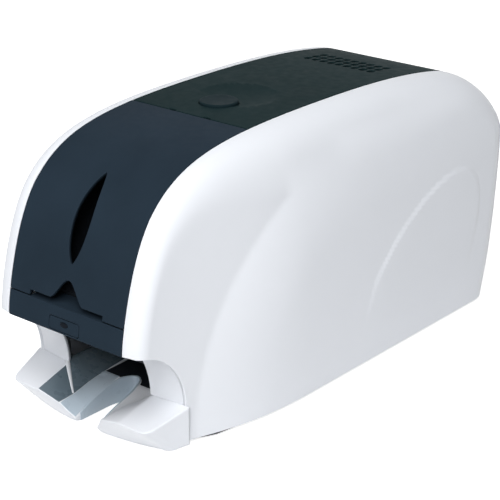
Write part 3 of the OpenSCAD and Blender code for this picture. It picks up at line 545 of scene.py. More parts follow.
SLOT_MATERIALS = {
    "white_shell": plastic("white_shell", (0.79, 0.81, 0.85), 0.006, (0.30, 0.34), 150, 0.04, 0.00001,
                           shine=0.25),
    "front_charcoal": plastic("front_charcoal", (0.018, 0.029, 0.042), 0.08, (0.42, 0.52), 2600, 0.25,
                              shine=0.01),
    "lid_charcoal": plastic("lid_charcoal", (0.010, 0.022, 0.024), 0.08, (0.44, 0.54), 2600, 0.25,
                            shine=0.01),
    "button_charcoal": plastic("button_charcoal", (0.009, 0.019, 0.023), 0.06, (0.38, 0.48), 2600, 0.2,
                               shine=0.01),
    "light_lens": plastic("light_lens", (0.002, 0.004, 0.008), 0.1, (0.3, 0.4), 900, 0.05, shine=0.05),
    # Its slate colour, laid on the tray's left slope only, is painted shade.
    "tray_slate": plastic("tray_slate", (0.115, 0.155, 0.185), 0.05, (0.24, 0.34), 2200, 0.12, 0.00003,
                          coat=0.2),
    "steel": metal("ground_steel", (0.66, 0.67, 0.69), (0.18, 0.32), (0.05, 1, 1)),
    "plate_steel": metal("plated_steel", (0.56, 0.58, 0.61), (0.32, 0.48), (1, 0.08, 1)),
    "head_aluminium": metal("plain_aluminium", (0.72, 0.73, 0.75), (0.3, 0.45), (0.06, 1, 1)),
    "screw_black": metal("black_oxide", (0.05, 0.05, 0.055), (0.35, 0.5)),
    "guide_grey": plastic("guide_grey", (0.012, 0.015, 0.020), 0.06, (0.5, 0.62), 2200, 0.3, shine=0.15),
    "roller_rubber": plastic("roller_rubber", (0.016, 0.016, 0.018), 0.15, (0.65, 0.8), 3200, 0.5, 0.00008),
    "tacky_rubber": plastic("tacky_rubber", (0.06, 0.17, 0.38), 0.06, (0.3, 0.42), 1800, 0.15),
    "gear_nylon": plastic("gear_nylon", (0.74, 0.73, 0.66), 0.04, (0.4, 0.5), 2000, 0.2),
    "motor_case": metal("motor_enamel", (0.10, 0.105, 0.115), (0.4, 0.55)),
    "board_green": board(),
    "socket_shell": metal("tin_plate", (0.60, 0.61, 0.64), (0.25, 0.4)),
    "ribbon_ink": plastic("ribbon_ink", (0.012, 0.012, 0.055), 0.2, (0.12, 0.25), 400, 0.1),
    "spool_white": plastic("spool_white", (0.72, 0.74, 0.78), 0.03, (0.38, 0.5), 2000, 0.2),
    "foot_rubber": plastic("foot_rubber", (0.012, 0.012, 0.012), 0.15, (0.7, 0.85), 3200, 0.5, 0.00008),
    "base_grey": plastic("base_grey", (0.028, 0.031, 0.034), 0.1, (0.5, 0.62), 1400, 0.5, 0.0001),
    "rocker_black": plastic("rocker_black", (0.008, 0.008, 0.009), 0.1, (0.15, 0.25), 2000, 0.1),
}
NODE_SLOTS = {part["node"]: part["material_slot"] for part in RECORD["subparts"]}


def dress_nodes():
    """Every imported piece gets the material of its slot."""
    for name, node in NODES.items():
        slot = NODE_SLOTS[name]
        node.data.materials.clear()
        node.data.materials.append(SLOT_MATERIALS[slot])


# ---- side covers -------------------------------------------------------------------------------
def flank(y, z):
    """Half width of the housing away from the shoulder, with the soft swell behind an ellipse."""
    inwards = SWELL_EDGE - np.hypot(np.maximum(SWELL_Y - y, 0) / SWELL_L, (z - SWELL_Z) / SWELL_H)
    rise = np.clip(inwards / SWELL_SPAN, 0, 1)
    start = 0.08
    eased = np.where(rise < start, rise * rise / (2 * start), rise - start / 2) / (1 - start / 2)
    widening = (BODY_W / 2 - FRONT_W / 2 - SWELL) * smooth((y - 5) / 145)
    return FRONT_W / 2 + widening + SWELL * (1 - (1 - eased) ** 2)


# Side view of the arched field on the flank, its height and the width of its edge
ARCH_LINE = [(228, 66), (245, 85), (264, 101), (286, 114), (305, 122), (321, 126), (333, 127.5), (345, 126),
             (357, 120), (365, 111), (369, 100), (370, 89), (367, 69), (361, 49), (354, 30), (300, 12),
             (214, 30)]
ARCH_HEIGHT = 1.2
ARCH_RAMP = 5.0


def raised_arch(y, z):
    """Height of the low arched field on the flank; it fades towards its foot."""
    points = np.column_stack([y, z])
    rise = inside(points, ARCH_LINE) * gap_to(points, ARCH_LINE)
    return ARCH_HEIGHT * smooth(rise / ARCH_RAMP) * smooth((z - 28) / 50)


def shoulder_width(y):
    """How far the round shoulder reaches in from the strip: narrow in front, widest over the middle."""
    return 11 + 33 * smooth((y - 10) / 120) - 16 * smooth((y - 260) / 110)


SHOULDER_LINE = TABLE_P[TABLE_U <= SHOULDER_END_U][::5]


def cover_x(points):
    """Half width of a side cover at side-view places [Y, Z]."""
    y, z = points[:, 0], points[:, 1]
    u = np.minimum(gap_to(points, SHOULDER_LINE, closed=False) / shoulder_width(y), 1)
    side = flank(y, z) - ARCH_HEIGHT + raised_arch(y, z)
    rise = (1 - (1 - u) ** SHOULDER_POWER) ** (1 / SHOULDER_POWER)
    return STRIP_HALF + (side - STRIP_HALF) * rise


def cover_slopes(flat, reach):
    """Slopes of cover_x along Y and Z."""
    return [(cover_x(flat + reach[:, None] * way) - cover_x(flat - reach[:, None] * way)) / (2 * reach)
            for way in np.eye(2)]


def shoulder_rows(strip, inward):
    """Places in rows along the shoulder, closest where it bends most."""
    rows = []
    for share in (0.05, 0.1, 0.16, 0.23, 0.31, 0.4, 0.5, 0.6, 0.7, 0.8, 0.9, 1.0):
        depth = 1 - (1 - share**SHOULDER_POWER) ** (1 / SHOULDER_POWER)
        rows.append(strip + (depth * shoulder_width(strip[:, 0]))[:, None] * inward)
    return np.vstack(rows)


def side_covers():
    """The right side cover, and the left one as its mirror image."""
    rounding, step = 0.6, 2.6
    lengths = np.linspace(0, TABLE_S[-1], round(TABLE_S[-1] / step) + 1)
    strip, tangent = bezier(np.interp(lengths, TABLE_S, TABLE_U))
    inward = np.column_stack([tangent[:, 1], -tangent[:, 0]])
    edge_strip = strip.copy()
    edge_strip[0, 1] = PANEL_Z + rounding
    edge_strip[:, 1] = np.maximum(edge_strip[:, 1], COVER_BOTTOM + rounding)
    bottom = [(y, COVER_BOTTOM + rounding)
              for y in np.linspace(strip[-1, 0] - 2, ARCH_Y + rounding + 2, 130)]
    foot = [(ARCH_Y + rounding + 1.4 * t, z) for z, t in ((10, 0.8), (16, 0.5), (22, 0.2))]
    arch = [(ARCH_Y * math.cos(a) + rounding, ARCH_Z + (PANEL_Z - ARCH_Z) * math.sin(a) + rounding)
            for a in np.linspace(0, math.pi / 2, 34)][:-1]
    loop = pairs(edge_strip) + bottom + foot + arch
    low_edge = np.array(loop[len(strip):])
    rows = shoulder_rows(strip, inward)
    rows = rows[inside(rows, loop)]
    rows = rows[gap_to(rows, SHOULDER_LINE, closed=False) > 0.05]
    grid = np.array([(y, z) for y in np.arange(3, HOUSING_L, step) for z in np.arange(4, TOP_Z, step)])
    grid = grid[inside(grid, loop)]
    grid = grid[gap_to(grid, SHOULDER_LINE, closed=False) > shoulder_width(grid[:, 0]) * 1.04]
    inner = np.vstack([rows, grid])
    inner = inner[gap_to(inner, low_edge, closed=False) > 1.2]
    flat, faces, place = triangulate([loop], inner)
    x = cover_x(flat)
    reach = np.clip(gap_to(flat, SHOULDER_LINE, closed=False) * 0.1, 1e-5, 0.2)
    along_y, along_z = cover_slopes(flat, reach)
    normal = unit(np.column_stack([np.ones(len(flat)), -along_y, -along_z]))
    numbers = [place[i] for i in range(len(loop))]
    on_strip = numbers[:len(strip)]
    x[on_strip] = STRIP_HALF + rounding
    normal[on_strip] = np.column_stack([np.zeros(len(strip)), -inward])
    outward = np.zeros((len(loop), 3))
    outward[:len(strip), 0] = -1
    ahead = unit(np.gradient(low_edge, axis=0))
    outward[len(strip):, 1:] = np.column_stack([-ahead[:, 1], ahead[:, 0]])
    outward = square_to(outward, normal[numbers])
    point = np.column_stack([x, flat])
    for side, name in ((1, "right"), (-1, "left")):
        flip = np.array([side, 1, 1])
        shell(name + "_cover_shell", "housing", "white_shell", point * flip, normal * flip, faces,
              [(numbers, outward * flip)], WALL, rounding, [name + "_side_cover"])


# ---- covers of the strip -----------------------------------------------------------------------
# A hinge axis, and the radius around it that a neighbour's cover stays clear of
FRONT_CLEAR = (FRONT_AXIS, sweep_radius(LID_FRONT_U, FRONT_AXIS, -1))
LID_CLEAR = (LID_AXIS, sweep_radius(LID_REAR_U, LID_AXIS, 1))


def cover_outline(low, high, first_edge=()):
    """A plain cover's outline between two lengths on the strip; its first edge may have cuts."""
    corners = [(low, -COVER_HALF), (high, -COVER_HALF), (high, COVER_HALF), (low, COVER_HALF)]
    return resample(corners + list(first_edge), 2.5)


def front_cover():
    low = length_at(PANEL_TOP_U) + SEAM / 2
    high = length_at(LID_FRONT_U) - SEAM / 2
    slot = length_at_height(SLOT_TOP)
    half = SLOT_W / 2
    bell = []
    for x in np.linspace(0.88, -0.88, 33) * NOTCH_W / 2:
        height = (NOTCH_H + 0.5) * math.cos(math.pi * x / NOTCH_W) ** 2
        bell.append((float(length_at_height(SLOT_TOP - 0.5 + height)), x))
    outer = cover_outline(low, high, [(low, half), (slot, half)] + bell + [(slot, -half), (low, -half)])
    window = [(float(length_at_height(z)), x) for x, z in lens_loop(WINDOW_Z, WINDOW_W, WINDOW_H)]
    strip_cover("front_cover_shell", "front_door", "front_charcoal", outer, [window], ["front_cover"],
                clear=FRONT_CLEAR)
    axis = np.array(FRONT_AXIS)
    arm = [tuple(axis + p) for p in ((-25, -18), (3.5, -18), (3.5, -2.8))]
    arm += arc(FRONT_AXIS, 4.5, -38, 218, 22)
    arm += [tuple(axis + p) for p in ((-3.5, -14), (-19, -14), (-19, 4.6), (-25, 4.6))]
    hole = arc(FRONT_AXIS, FRONT_BORE_R, 360, 15, 24)
    flange = rib(PANEL_TOP_U + 0.02, LID_FRONT_U - 0.01, FLANGE_DEPTH, *FRONT_CLEAR)
    extrusion("front_cover_arms", "front_door", "front_charcoal",
              mirrored([([arm, hole], 20, 26), ([flange], FLANGE_X, FLANGE_X + FLANGE_W)]), ["front_cover"])


def control_panel():
    half_w, half_h = BUTTON_W / 2 + BUTTON_GAP, BUTTON_H / 2 + BUTTON_GAP
    opening = [(float(length_at_height(z)), x) for z, x in rounded_box(BUTTON_Z, 0, half_h, half_w, 2, 1.5)]
    outer = cover_outline(0.0, length_at(PANEL_TOP_U) - SEAM / 2)
    strip_cover("control_panel_shell", "housing", "front_charcoal", outer, [opening], ["control_panel"],
                step=2.0)
    shelf_top = PANEL_Z + WALL
    gap_half, gap_back, sill_z = 15.6, 13, 78.1
    side = [rectangle(1.2, PANEL_Z, 50, shelf_top)]
    middle = [[(1.2, PANEL_Z), (50, PANEL_Z), (50, shelf_top), (gap_back, shelf_top), (gap_back, sill_z),
               (1.2, sill_z)]]
    extrusion("control_panel_frame", "housing", "front_charcoal",
              mirrored([(side, gap_half, COVER_HALF)])
              + [(middle, -gap_half, gap_half), ([rectangle(3.5, 93, 21, 95)], -36, 36),
                 ([rectangle(gap_back, shelf_top, 14.5, 93)], -12, 12)],
              ["control_panel"])


def dish(point, normal):
    """The round hollow behind the release button."""
    reach = point[:, :2] - (0, DISH_Y)
    r = np.linalg.norm(reach, axis=1)
    z = TOP_Z - DISH_DEPTH * (1 - (r / DISH_R) ** 2)
    low = (r < DISH_R) & (z < point[:, 2])
    point[low, 2] = z[low]
    normal[low] = np.column_stack([-2 * DISH_DEPTH / DISH_R**2 * reach[low], np.ones(low.sum())])
    return point, unit(normal)


def top_cover():
    low = length_at(LID_FRONT_U) + SEAM / 2
    high = length_at(LID_REAR_U) - SEAM / 2
    cuts = [(low + depth, x + side * CUT_HALF) for x in (CUT_X, -CUT_X)
            for depth, side in ((0, 1), (CUT_DEPTH, 1), (CUT_DEPTH, -1), (0, -1))]
    hole = [(float(length_at_depth(RELEASE_Y + y)), x) for x, y in circle_loop(RELEASE_R + BUTTON_GAP, 96)]
    half_l, half_w = VENT_L / 2, VENT_W / 2
    slot = rounded_box(0, 0, half_l, half_w, half_w - 0.02, 1.2)
    vents = [[(float(length_at_depth(row + y)), column + x) for y, x in slot]
             for row in VENT_ROWS for column in VENT_COLUMNS]
    strip_cover("top_cover_shell", "lid", "lid_charcoal", cover_outline(low, high, cuts), [hole] + vents,
                ["top_cover"], dish)
    ear = [(352, 190.4)] + arc(LID_AXIS, 5.5, 172, 372, 18) + [(369, 186.3)]
    leg = rectangle(152, 186, 166, 199.6)
    plate = rectangle(152, 186, 166, 188.5)
    flange = rib(LID_FRONT_U + 0.01, LID_REAR_U - 0.01, FLANGE_DEPTH, LID_AXIS, 0)
    extrusion("top_cover_frame", "lid", "lid_charcoal",
              mirrored([([ear, arc(LID_AXIS, LID_BORE_R, 360, 15, 24)], 36, 41), ([leg], 19, 22),
                        ([plate], 3.6, 19), ([flange], FLANGE_X, FLANGE_X + FLANGE_W)]), ["top_cover"])


def rear_panel():
    low = length_at(LID_REAR_U) + SEAM / 2
    holes = [[(float(length_at_back(h)), w)
              for h, w in rounded_box(z, x, height / 2, width / 2, radius, 1.5)]
             for x, z, width, height, radius in SOCKET_HOLES]
    strip_cover("rear_panel_shell", "housing", "lid_charcoal", cover_outline(low, TABLE_S[-1]), holes,
                ["rear_panel"], clear=LID_CLEAR)
    flange = rib(LID_REAR_U + 0.01, len(OUTLINE) - 0.02, FLANGE_DEPTH, *LID_CLEAR)
    extrusion("rear_panel_frame", "housing", "lid_charcoal",
              mirrored([([flange], FLANGE_X, FLANGE_X + FLANGE_W),
                        ([rectangle(362, 120, 412.8, 132)], 44, 47)]),
              ["rear_panel"])


# ---- buttons -----------------------------------------------------------------------------------
def release_button():
    """A turned cap on a stem, as rings of [radius, height] from the middle of its top to the foot."""
    edge, count = 1.1, 96
    crown = [(r, 203.0 + 0.25 * (r / (RELEASE_R - edge)) ** 2) for r in (3, 6, 9, 11.5)]
    rim = [(RELEASE_R - edge + edge * math.sin(a), 202.15 + edge * math.cos(a))
           for a in np.linspace(0, math.pi / 2, 7)]
    profile = crown + rim + [(RELEASE_R, 198.9), (3, 198.9), (3, 181.3), (2.7, 181)]
    turns = np.linspace(0, 2 * math.pi, count, endpoint=False)
    verts = [(r * math.cos(a), RELEASE_Y + r * math.sin(a), h) for r, h in profile for a in turns]
    new_piece("release_button_cap", "release", "button_charcoal", to_frame(verts),
              tube_faces(len(profile), count), ["release_button"], sharp=50)


def panel_button():
    play = 0.05
    outer = [(float(length_at_height(z)), x) for z, x in
             rounded_box(BUTTON_Z, 0, BUTTON_H / 2 - play, BUTTON_W / 2 - play, 1.8, 1.2)]
    oval = [(float(length_at_height(LENS_Z + z * LENS_H / LENS_W)), x)
            for x, z in circle_loop(LENS_W / 2 + play, 40)]
    strip_cover("panel_button_cap", "feed_button", "front_charcoal", outer, [oval], ["panel_button"],
                step=1.5, thickness=3.2, rounding=0.45)
    strip_cover("panel_lens", "feed_button", "light_lens", inset(oriented(oval, 1), 0.1)[0], [],
                ["panel_light_lens"], step=1.0, thickness=3.0, rounding=0.3)
    extrusion("panel_button_back", "feed_button", "front_charcoal",
              [([rectangle(4.3, 78.6, 5.5, 88.4)], -15, 15)], ["panel_button"], 0.2)


# ---- output tray and exit ----------------------------------------------------------------------
TRAY_FRONT, TRAY_BACK, TRAY_SHELF = 8.6, 104, 44
RIM_X = 39.4
NOTCH_HALF, NOTCH_TURN, NOTCH_END = 10, 47, 69


def rim_line(y):
    """Distance from the middle to the upper edge of the tray's slopes."""
    return RIM_X + 0.035 * (y - TRAY_FRONT)


def fold_line(y):
    """Distance from the middle to the fold between a slope and the floor."""
    return np.interp(y, (26, 45, 55, 100), (20, 24, 25.3, 28))


def tray_height(x, y):
    """Height of the tray's upper side: outer flats, slopes down to a fold, and a floor to the notch."""
    rim = np.minimum(20.6 + 0.28 * (y - TRAY_FRONT), 30.2)
    rim_x, fold_x = rim_line(y), fold_line(y)
    fold_z = np.interp(y, (11, 30, 55, 100), (16, 17, 18, 21))
    floor_z = np.interp(y, (11, 17, 27, 37, 47, 60, 100), (0.8, 4.1, 9.2, 12.9, 15.8, 19.2, 20))
    x = np.abs(x)
    low = floor_z + (fold_z - floor_z) * (x - NOTCH_HALF) / (fold_x - NOTCH_HALF)
    wall = fold_z + (rim - fold_z) * (x - fold_x) / (rim_x - fold_x)
    return np.where(x < fold_x, np.maximum(low, np.minimum(floor_z, 20)), np.minimum(wall, rim))


def tray_surface(flat, lift=0.0):
    """Points and normals of the tray's upper side at places [X, Y]; its folds are slightly round."""
    soft, reach = 0.45, 0.25

    def height(x, y):
        return sum(tray_height(x + soft * k, y) for k in (-1, -0.5, 0, 0.5, 1)) / 5

    x, y = flat[:, 0], flat[:, 1]
    normal = unit(np.column_stack([(height(x - reach, y) - height(x + reach, y)) / (2 * reach),
                                   (height(x, y - reach) - height(x, y + reach)) / (2 * reach),
                                   np.ones(len(x))]))
    return np.column_stack([x, y, height(x, y)]) + lift * normal, normal


def tray_outline():
    """Matched plans of the tray's upper edge and its foot, counterclockwise from above."""
    def line(a, b, count):
        return [tuple(np.add(a, np.subtract(b, a) * i / count)) for i in range(count)]

    def curve(a, b, c, count):
        return [tuple((1 - t) ** 2 * np.array(a) + 2 * t * (1 - t) * np.array(b) + t * t * np.array(c))
                for t in (i / count for i in range(count))]

    def foot_line(x0, x1, count):
        return [(x, 17.5 + 9 * (x / 60) ** 2) for x in (x0 + (x1 - x0) * i / count for i in range(count))]

    top = line((0, TRAY_BACK), (44, TRAY_BACK), 16) + line((44, TRAY_BACK), (44, TRAY_SHELF), 20)
    foot = list(top)
    top += line((44, TRAY_SHELF), (73, TRAY_SHELF), 12) + line((73, TRAY_SHELF), (67, 16.5), 12)
    foot += line((44, TRAY_SHELF), (72, TRAY_SHELF), 12) + line((72, TRAY_SHELF), (70, 35), 12)
    top += curve((67, 16.5), (65.4, 8.2), (57, 8.2), 12) + line((57, 8.2), (RIM_X, TRAY_FRONT), 10)
    foot += arc((62, 35), 8, 0, -82.5, 12) + foot_line(62, RIM_X, 10)
    top += line((RIM_X, TRAY_FRONT), (20.5, 10.8), 12) + line((20.5, 10.8), (10.9, 16.4), 9)
    foot += foot_line(RIM_X, 20, 12) + curve((20, 18.5), (13, 18), (11.3, 19), 9)
    top += curve((10.9, 16.4), (NOTCH_HALF, 17), (NOTCH_HALF, 18.6), 4)
    foot += curve((11.3, 19), (NOTCH_HALF, 20), (NOTCH_HALF, 22), 4)
    top += line((NOTCH_HALF, 18.6), (NOTCH_HALF, NOTCH_TURN), 16)
    foot += line((NOTCH_HALF, 22), (NOTCH_HALF, NOTCH_TURN), 16)
    turn = [(NOTCH_HALF * math.cos(a), NOTCH_TURN + (NOTCH_END - NOTCH_TURN) * math.sin(a))
            for a in (math.pi / 2 * i / 16 for i in range(17))]
    return [half + turn + [(-x, y) for x, y in (half + turn)[-2:0:-1]] for half in (top, foot)]


def output_tray():
    """The white tray: its upper side, its round edges, its outer walls and its sole."""
    upper, lower = (loop[::-1] for loop in tray_outline())
    edge_round, foot_round, foot_z, step = 1.3, 0.8, 1.0, 1.6
    inner = inset(upper, edge_round)[0]
    grid = np.array([(x, y) for x in np.arange(-74, 74, step) for y in np.arange(8, TRAY_BACK, step)])
    grid = grid[inside(grid, inner)]
    grid = grid[gap_to(grid, inner) > 0.7]
    flat, faces, place = triangulate([inner], grid)
    verts = list(tray_surface(flat)[0])
    count = len(upper)
    rings = [np.array(place[:count])]
    corner = tray_surface(np.array(upper))[0]
    ground = np.column_stack([np.array(lower), np.full(count, foot_z)])
    inner_foot = inset(lower, foot_round)[0]
    base = np.column_stack([inner_foot, np.full(count, foot_z)])
    down = ground - corner
    length = np.linalg.norm(down, axis=1)[:, None]
    down /= length
    start = np.array([verts[k] for k in place[:count]])
    reach = np.minimum(edge_round, length * 0.4)
    rows = [(1 - t) ** 2 * start + 2 * t * (1 - t) * corner + t * t * (corner + reach * down)
            for t in (0.25, 0.5, 0.75, 1)]
    rows += [corner + down * (reach + (length - reach - foot_round * 0.6) * t)
             for t in (0.06, 0.35, 0.65, 0.94, 1)]
    rows += [(ground - 0.2 * down + base) / 2 + (0, 0, 0.1), base]
    for row in rows:
        rings.append(np.arange(count) + len(verts))
        verts += list(row)
    faces = pairs(faces)
    for low, high in zip(rings, rings[1:]):
        faces += ring_faces(low, high)
    _, sole, where = triangulate([inner_foot])
    back = {where[i]: int(rings[-1][i]) for i in range(count)}
    faces += [tuple(back[k] for k in f[::-1]) for f in sole]
    new_piece("tray_body", "housing", "white_shell", to_frame(verts), faces, ["output_tray"])


def tray_sheet(name, slot, loop, material=None):
    """A thin sheet that lies on the tray inside a plan outline [X, Y]."""
    step, rounding = 1.5, 0.3
    edge, left = inset(resample(oriented(loop, 1), step), rounding)
    low, high = edge.min(axis=0), edge.max(axis=0)
    grid = np.array([(x, y) for x in np.arange(low[0], high[0], step)
                     for y in np.arange(low[1], high[1], step)])
    grid = grid[inside(grid, edge)]
    grid = grid[gap_to(grid, edge) > 0.6]
    flat, faces, place = triangulate([edge], grid)
    point, normal = tray_surface(flat, 0.35)
    numbers = [place[i] for i in range(len(edge))]
    outward = square_to(np.column_stack([-left, np.zeros(len(edge))]), normal[numbers])
    shell(name, "housing", slot, point, normal, faces, [(numbers, outward)], 0.9, rounding, ["output_tray"],
          material=material)


def tray_shade_sheets():
    """Painted shade: a slate sheet on the left slope only, which the housing shades, and a near-black sheet
    deep in the exit behind the notch.
    """
    y = np.linspace(11.3, 99, 60)
    loop = list(zip(-fold_line(y) - 0.1, y))
    y = np.linspace(99, 9.9, 60)
    # Painted shade: the slate sheet lies on the left slope only.
    tray_sheet("tray_left_slope_shade", "tray_slate", loop + list(zip(np.where(y < 41.5, 0.7, -2.9) - rim_line(y), y)))
    # Painted shade: a near-black sheet on the floor behind the notch, where the exit lies in deep shade.
    throat = [(24.5, 62), (42.5, 62), (42.5, 101), (-24, 101), (-24.5, 62)]
    turn = [(-10.7 * math.cos(a), 54 + 15.6 * math.sin(a)) for a in np.linspace(0.5, math.pi - 0.5, 24)]
    tray_sheet("tray_throat_shade", "guide_grey", throat + turn)


def tray_rib():
    """The thin rib across the left slope, which gets lower and narrower towards the fold."""
    stations, around = 16, 9
    start, end = np.array((-41.2, 40.6)), np.array((-20.3, 25.3))
    across = (end - start)[::-1] * (1, -1) / math.dist(start, end)
    verts = []
    for t in np.linspace(0, 1, stations):
        centre = start + (end - start) * t
        half, high = 1.9 - 1.1 * t, 1.5 - 0.6 * t
        base = tray_surface(centre[None])[0][0]
        for a in np.linspace(0, math.pi, around):
            x, y = across * half * math.cos(a)
            verts.append(base + (x, y, high * math.sin(a) - 0.3 * (math.sin(a) < 0.01)))
    new_piece("tray_rib", "housing", "white_shell", to_frame(verts), tube_faces(stations, around),
              ["output_tray"], sharp=60)


def tray_floor():
    """Painted shade on the white tray: a blue-grey sheet on the floor strip beside the notch and another
    over the notch's wall.
    """
    # Painted shade: this blue-grey stands in for white plastic in the shade of the overhang.
    grey = plastic("tray_floor_shade", (0.45, 0.53, 0.60), 0.03, (0.26, 0.34), 300, 0.05, 0.00001, shine=0.4)
    y = np.linspace(18.4, 61.8, 40)
    edge_x = -10.6
    loop = list(zip(0.05 - fold_line(y), y)) + [(edge_x, h) for h in y[::-1]] + [(edge_x, 17.6), (-19.6, 12)]
    tray_sheet("tray_floor", "tray_slate", loop, grey)
    # The same painted shade goes over the notch's wall.
    straight = [(NOTCH_HALF, h) for h in np.linspace(21.5, NOTCH_TURN - 1.2, 14)]
    turn = [(NOTCH_HALF * math.cos(a), NOTCH_TURN + (NOTCH_END - NOTCH_TURN) * math.sin(a))
            for a in np.linspace(0, math.pi, 41)]
    path = np.array(straight + turn + [(-x, h) for x, h in straight[::-1]])
    way = np.gradient(path, axis=0)
    out = unit(np.column_stack([way[:, 1], -way[:, 0]]))
    height = tray_height(path[:, 0], path[:, 1])
    low = np.full(len(path), 1.0)
    section = ((-0.4, low), (-0.4, height - 0.1), (-0.3, height + 0.25), (0, height + 0.4),
               (0.9, height + 0.4), (0.9, low))
    verts = np.stack([np.column_stack([path + out * shift, level]) for shift, level in section], axis=1)
    new_piece("notch_wall_shade", "housing", "tray_slate", to_frame(verts.reshape(-1, 3)),
              tube_faces(len(path), len(section)), ["output_tray"], sharp=50, material=grey)


def arch_at(z):
    """Depth of the side covers' front arch at a height."""
    share = np.clip((z - ARCH_Z) / (PANEL_Z - ARCH_Z), 0, 1)
    return ARCH_Y * np.sqrt(1 - share**2)


def exit_cheeks():
    """Curved sheets beside the card exit, joined by a bar under the control panel."""
    low, high, inner_x = 30.4, 74.4, 40
    rows, columns = 26, 18
    share = np.linspace(0, 1, columns)
    corner = np.array([r * columns + c for r in range(rows - 1) for c in range(columns - 1)])
    faces = np.vstack([np.column_stack([corner, corner + 1, corner + columns + 1]),
                       np.column_stack([corner, corner + columns + 1, corner + columns])])
    last = (rows - 1) * columns
    ring = (list(range(columns)) + [r * columns + columns - 1 for r in range(1, rows)]
            + list(range(last + columns - 2, last - 1, -1)) + [r * columns for r in range(rows - 2, 0, -1)])
    for side, name in ((1, "right"), (-1, "left")):
        grid = []
        for z in np.linspace(low, high, rows):
            outer = cover_x(np.array([[arch_at(z) + 2, z]]))[0] - WALL - 0.25
            inner_y = 40.5 - 0.0085 * (z - ARCH_Z) ** 2
            y = inner_y + (arch_at(z) + 0.8 - inner_y) * smooth(share * 0.5) * 2
            x = side * (inner_x + (outer - inner_x) * share)
            grid.append(np.column_stack([x, y, np.full(columns, z)]))
        point = np.vstack(grid)
        normal = unit(np.cross(np.gradient(grid, axis=1), np.gradient(grid, axis=0)).reshape(-1, 3) * side)
        edge = point[ring]
        outward = np.cross(np.roll(edge, -1, axis=0) - np.roll(edge, 1, axis=0), normal[ring])
        outward *= np.where(np.sum(outward * (edge - edge.mean(axis=0)), axis=1) < 0, -1, 1)[:, None]
        shell(name + "_exit_cheek", "housing", "white_shell", point, normal, faces, [(ring, unit(outward))],
              2.2, 0.3, ["exit_surround"])
    extrusion("exit_bar", "housing", "guide_grey", [([rectangle(25.5, 71, 28, 77)], -41, 41)],
              ["exit_surround"])


# ---- light, floor and camera -------------------------------------------------------------------
def seen_rays(nodes, links):
    """One for rays from the camera, from mirrors and through glass, zero for the rest."""
    path = nodes.new("ShaderNodeLightPath")
    seen = path.outputs["Is Camera Ray"]
    for ray in ("Is Glossy Ray", "Is Transmission Ray"):
        most = nodes.new("ShaderNodeMath")
        most.operation = "MAXIMUM"
        links.new(seen, most.inputs[0])
        links.new(path.outputs[ray], most.inputs[1])
        seen = most.outputs[0]
    return seen


def make_world():
    """A dim, slightly cold sky that is seen as white."""
    world = bpy.data.worlds.new("studio")
    bpy.context.scene.world = world
    world.use_nodes = True
    nodes, links = world.node_tree.nodes, world.node_tree.links
    output = nodes["World Output"]
    dim = nodes["Background"]
    dim.inputs["Color"].default_value = (0.93, 0.96, 1.0, 1)
    dim.inputs["Strength"].default_value = 0.24
    white = nodes.new("ShaderNodeBackground")
    white.inputs["Color"].default_value = (1, 1, 1, 1)
    white.inputs["Strength"].default_value = 1.0
    mix = nodes.new("ShaderNodeMixShader")
    links.new(seen_rays(nodes, links), mix.inputs["Fac"])
    links.new(dim.outputs[0], mix.inputs[1])
    links.new(white.outputs[0], mix.inputs[2])
    links.new(mix.outputs[0], output.inputs["Surface"])


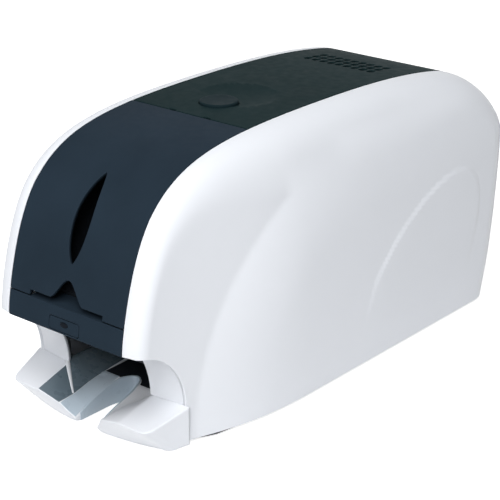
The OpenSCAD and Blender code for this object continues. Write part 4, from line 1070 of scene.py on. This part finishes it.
def make_floor():
    """A pale floor that takes the object's shadow and, where it is seen, glows up to white."""
    half = 6.0
    mesh = bpy.data.meshes.new("floor")
    mesh.from_pydata([(-half, -half, 0), (half, -half, 0), (half, half, 0), (-half, half, 0)], [],
                     [(0, 1, 2, 3)])
    floor = bpy.data.objects.new("floor", mesh)
    bpy.context.scene.collection.objects.link(floor)
    material, nodes, links, shader = node_material("floor_white")
    shader.inputs["Base Color"].default_value = (0.8, 0.8, 0.8, 1)
    shader.inputs["Roughness"].default_value = 0.9
    glow = nodes.new("ShaderNodeEmission")
    glow.inputs["Strength"].default_value = 0.82
    black = nodes.new("ShaderNodeEmission")
    black.inputs["Strength"].default_value = 0.0
    pick = nodes.new("ShaderNodeMixShader")
    add = nodes.new("ShaderNodeAddShader")
    links.new(seen_rays(nodes, links), pick.inputs["Fac"])
    links.new(black.outputs[0], pick.inputs[1])
    links.new(glow.outputs[0], pick.inputs[2])
    links.new(shader.outputs[0], add.inputs[0])
    links.new(pick.outputs[0], add.inputs[1])
    links.new(add.outputs[0], nodes["Material Output"].inputs["Surface"])
    mesh.materials.append(material)


def area_light(name, place, target, size, power):
    """A square lamp that faces a target; places and size are in metres, power in watts."""
    data = bpy.data.lights.new(name, "AREA")
    data.shape = "RECTANGLE"
    data.size = data.size_y = size
    data.energy = power
    light = bpy.data.objects.new(name, data)
    light.location = place
    light.rotation_mode = "QUATERNION"
    light.rotation_quaternion = (Vector(target) - Vector(place)).to_track_quat("-Z", "Y")
    bpy.context.scene.collection.objects.link(light)


def make_camera():
    """The photographed view, from the right of the front and above."""
    data = bpy.data.cameras.new("camera")
    data.sensor_width = 36
    data.lens = 115.2
    data.clip_start, data.clip_end = 0.05, 30
    camera = bpy.data.objects.new("camera", data)
    azimuth, elevation = math.radians(40.01), math.radians(21.97)
    camera.location = (0.7161, -0.8675, 0.5277)
    back = Vector((math.sin(azimuth) * math.cos(elevation), -math.cos(azimuth) * math.cos(elevation),
                   math.sin(elevation)))
    camera.rotation_mode = "QUATERNION"
    camera.rotation_quaternion = (-back).to_track_quat("-Z", "Y")
    bpy.context.scene.collection.objects.link(camera)
    bpy.context.scene.camera = camera


# ---- build -------------------------------------------------------------------------------------
bpy.context.scene.view_settings.view_transform = "Standard"
make_camera()
make_world()
make_floor()
area_light("key", place=(0.88, -1.45, 1.25), target=(0, -0.15, 0.08), size=0.7, power=18)
area_light("top", place=(0.4, -0.7, 1.4), target=(0, -0.1, 0.1), size=0.7, power=11.5)
area_light("front", place=(-0.4, -2.4, 1.2), target=(0, 0, 0.1), size=1.2, power=4)
dress_nodes()
side_covers()
front_cover()
control_panel()
top_cover()
rear_panel()
release_button()
panel_button()
output_tray()
tray_shade_sheets()
tray_rib()
tray_floor()
exit_cheeks()
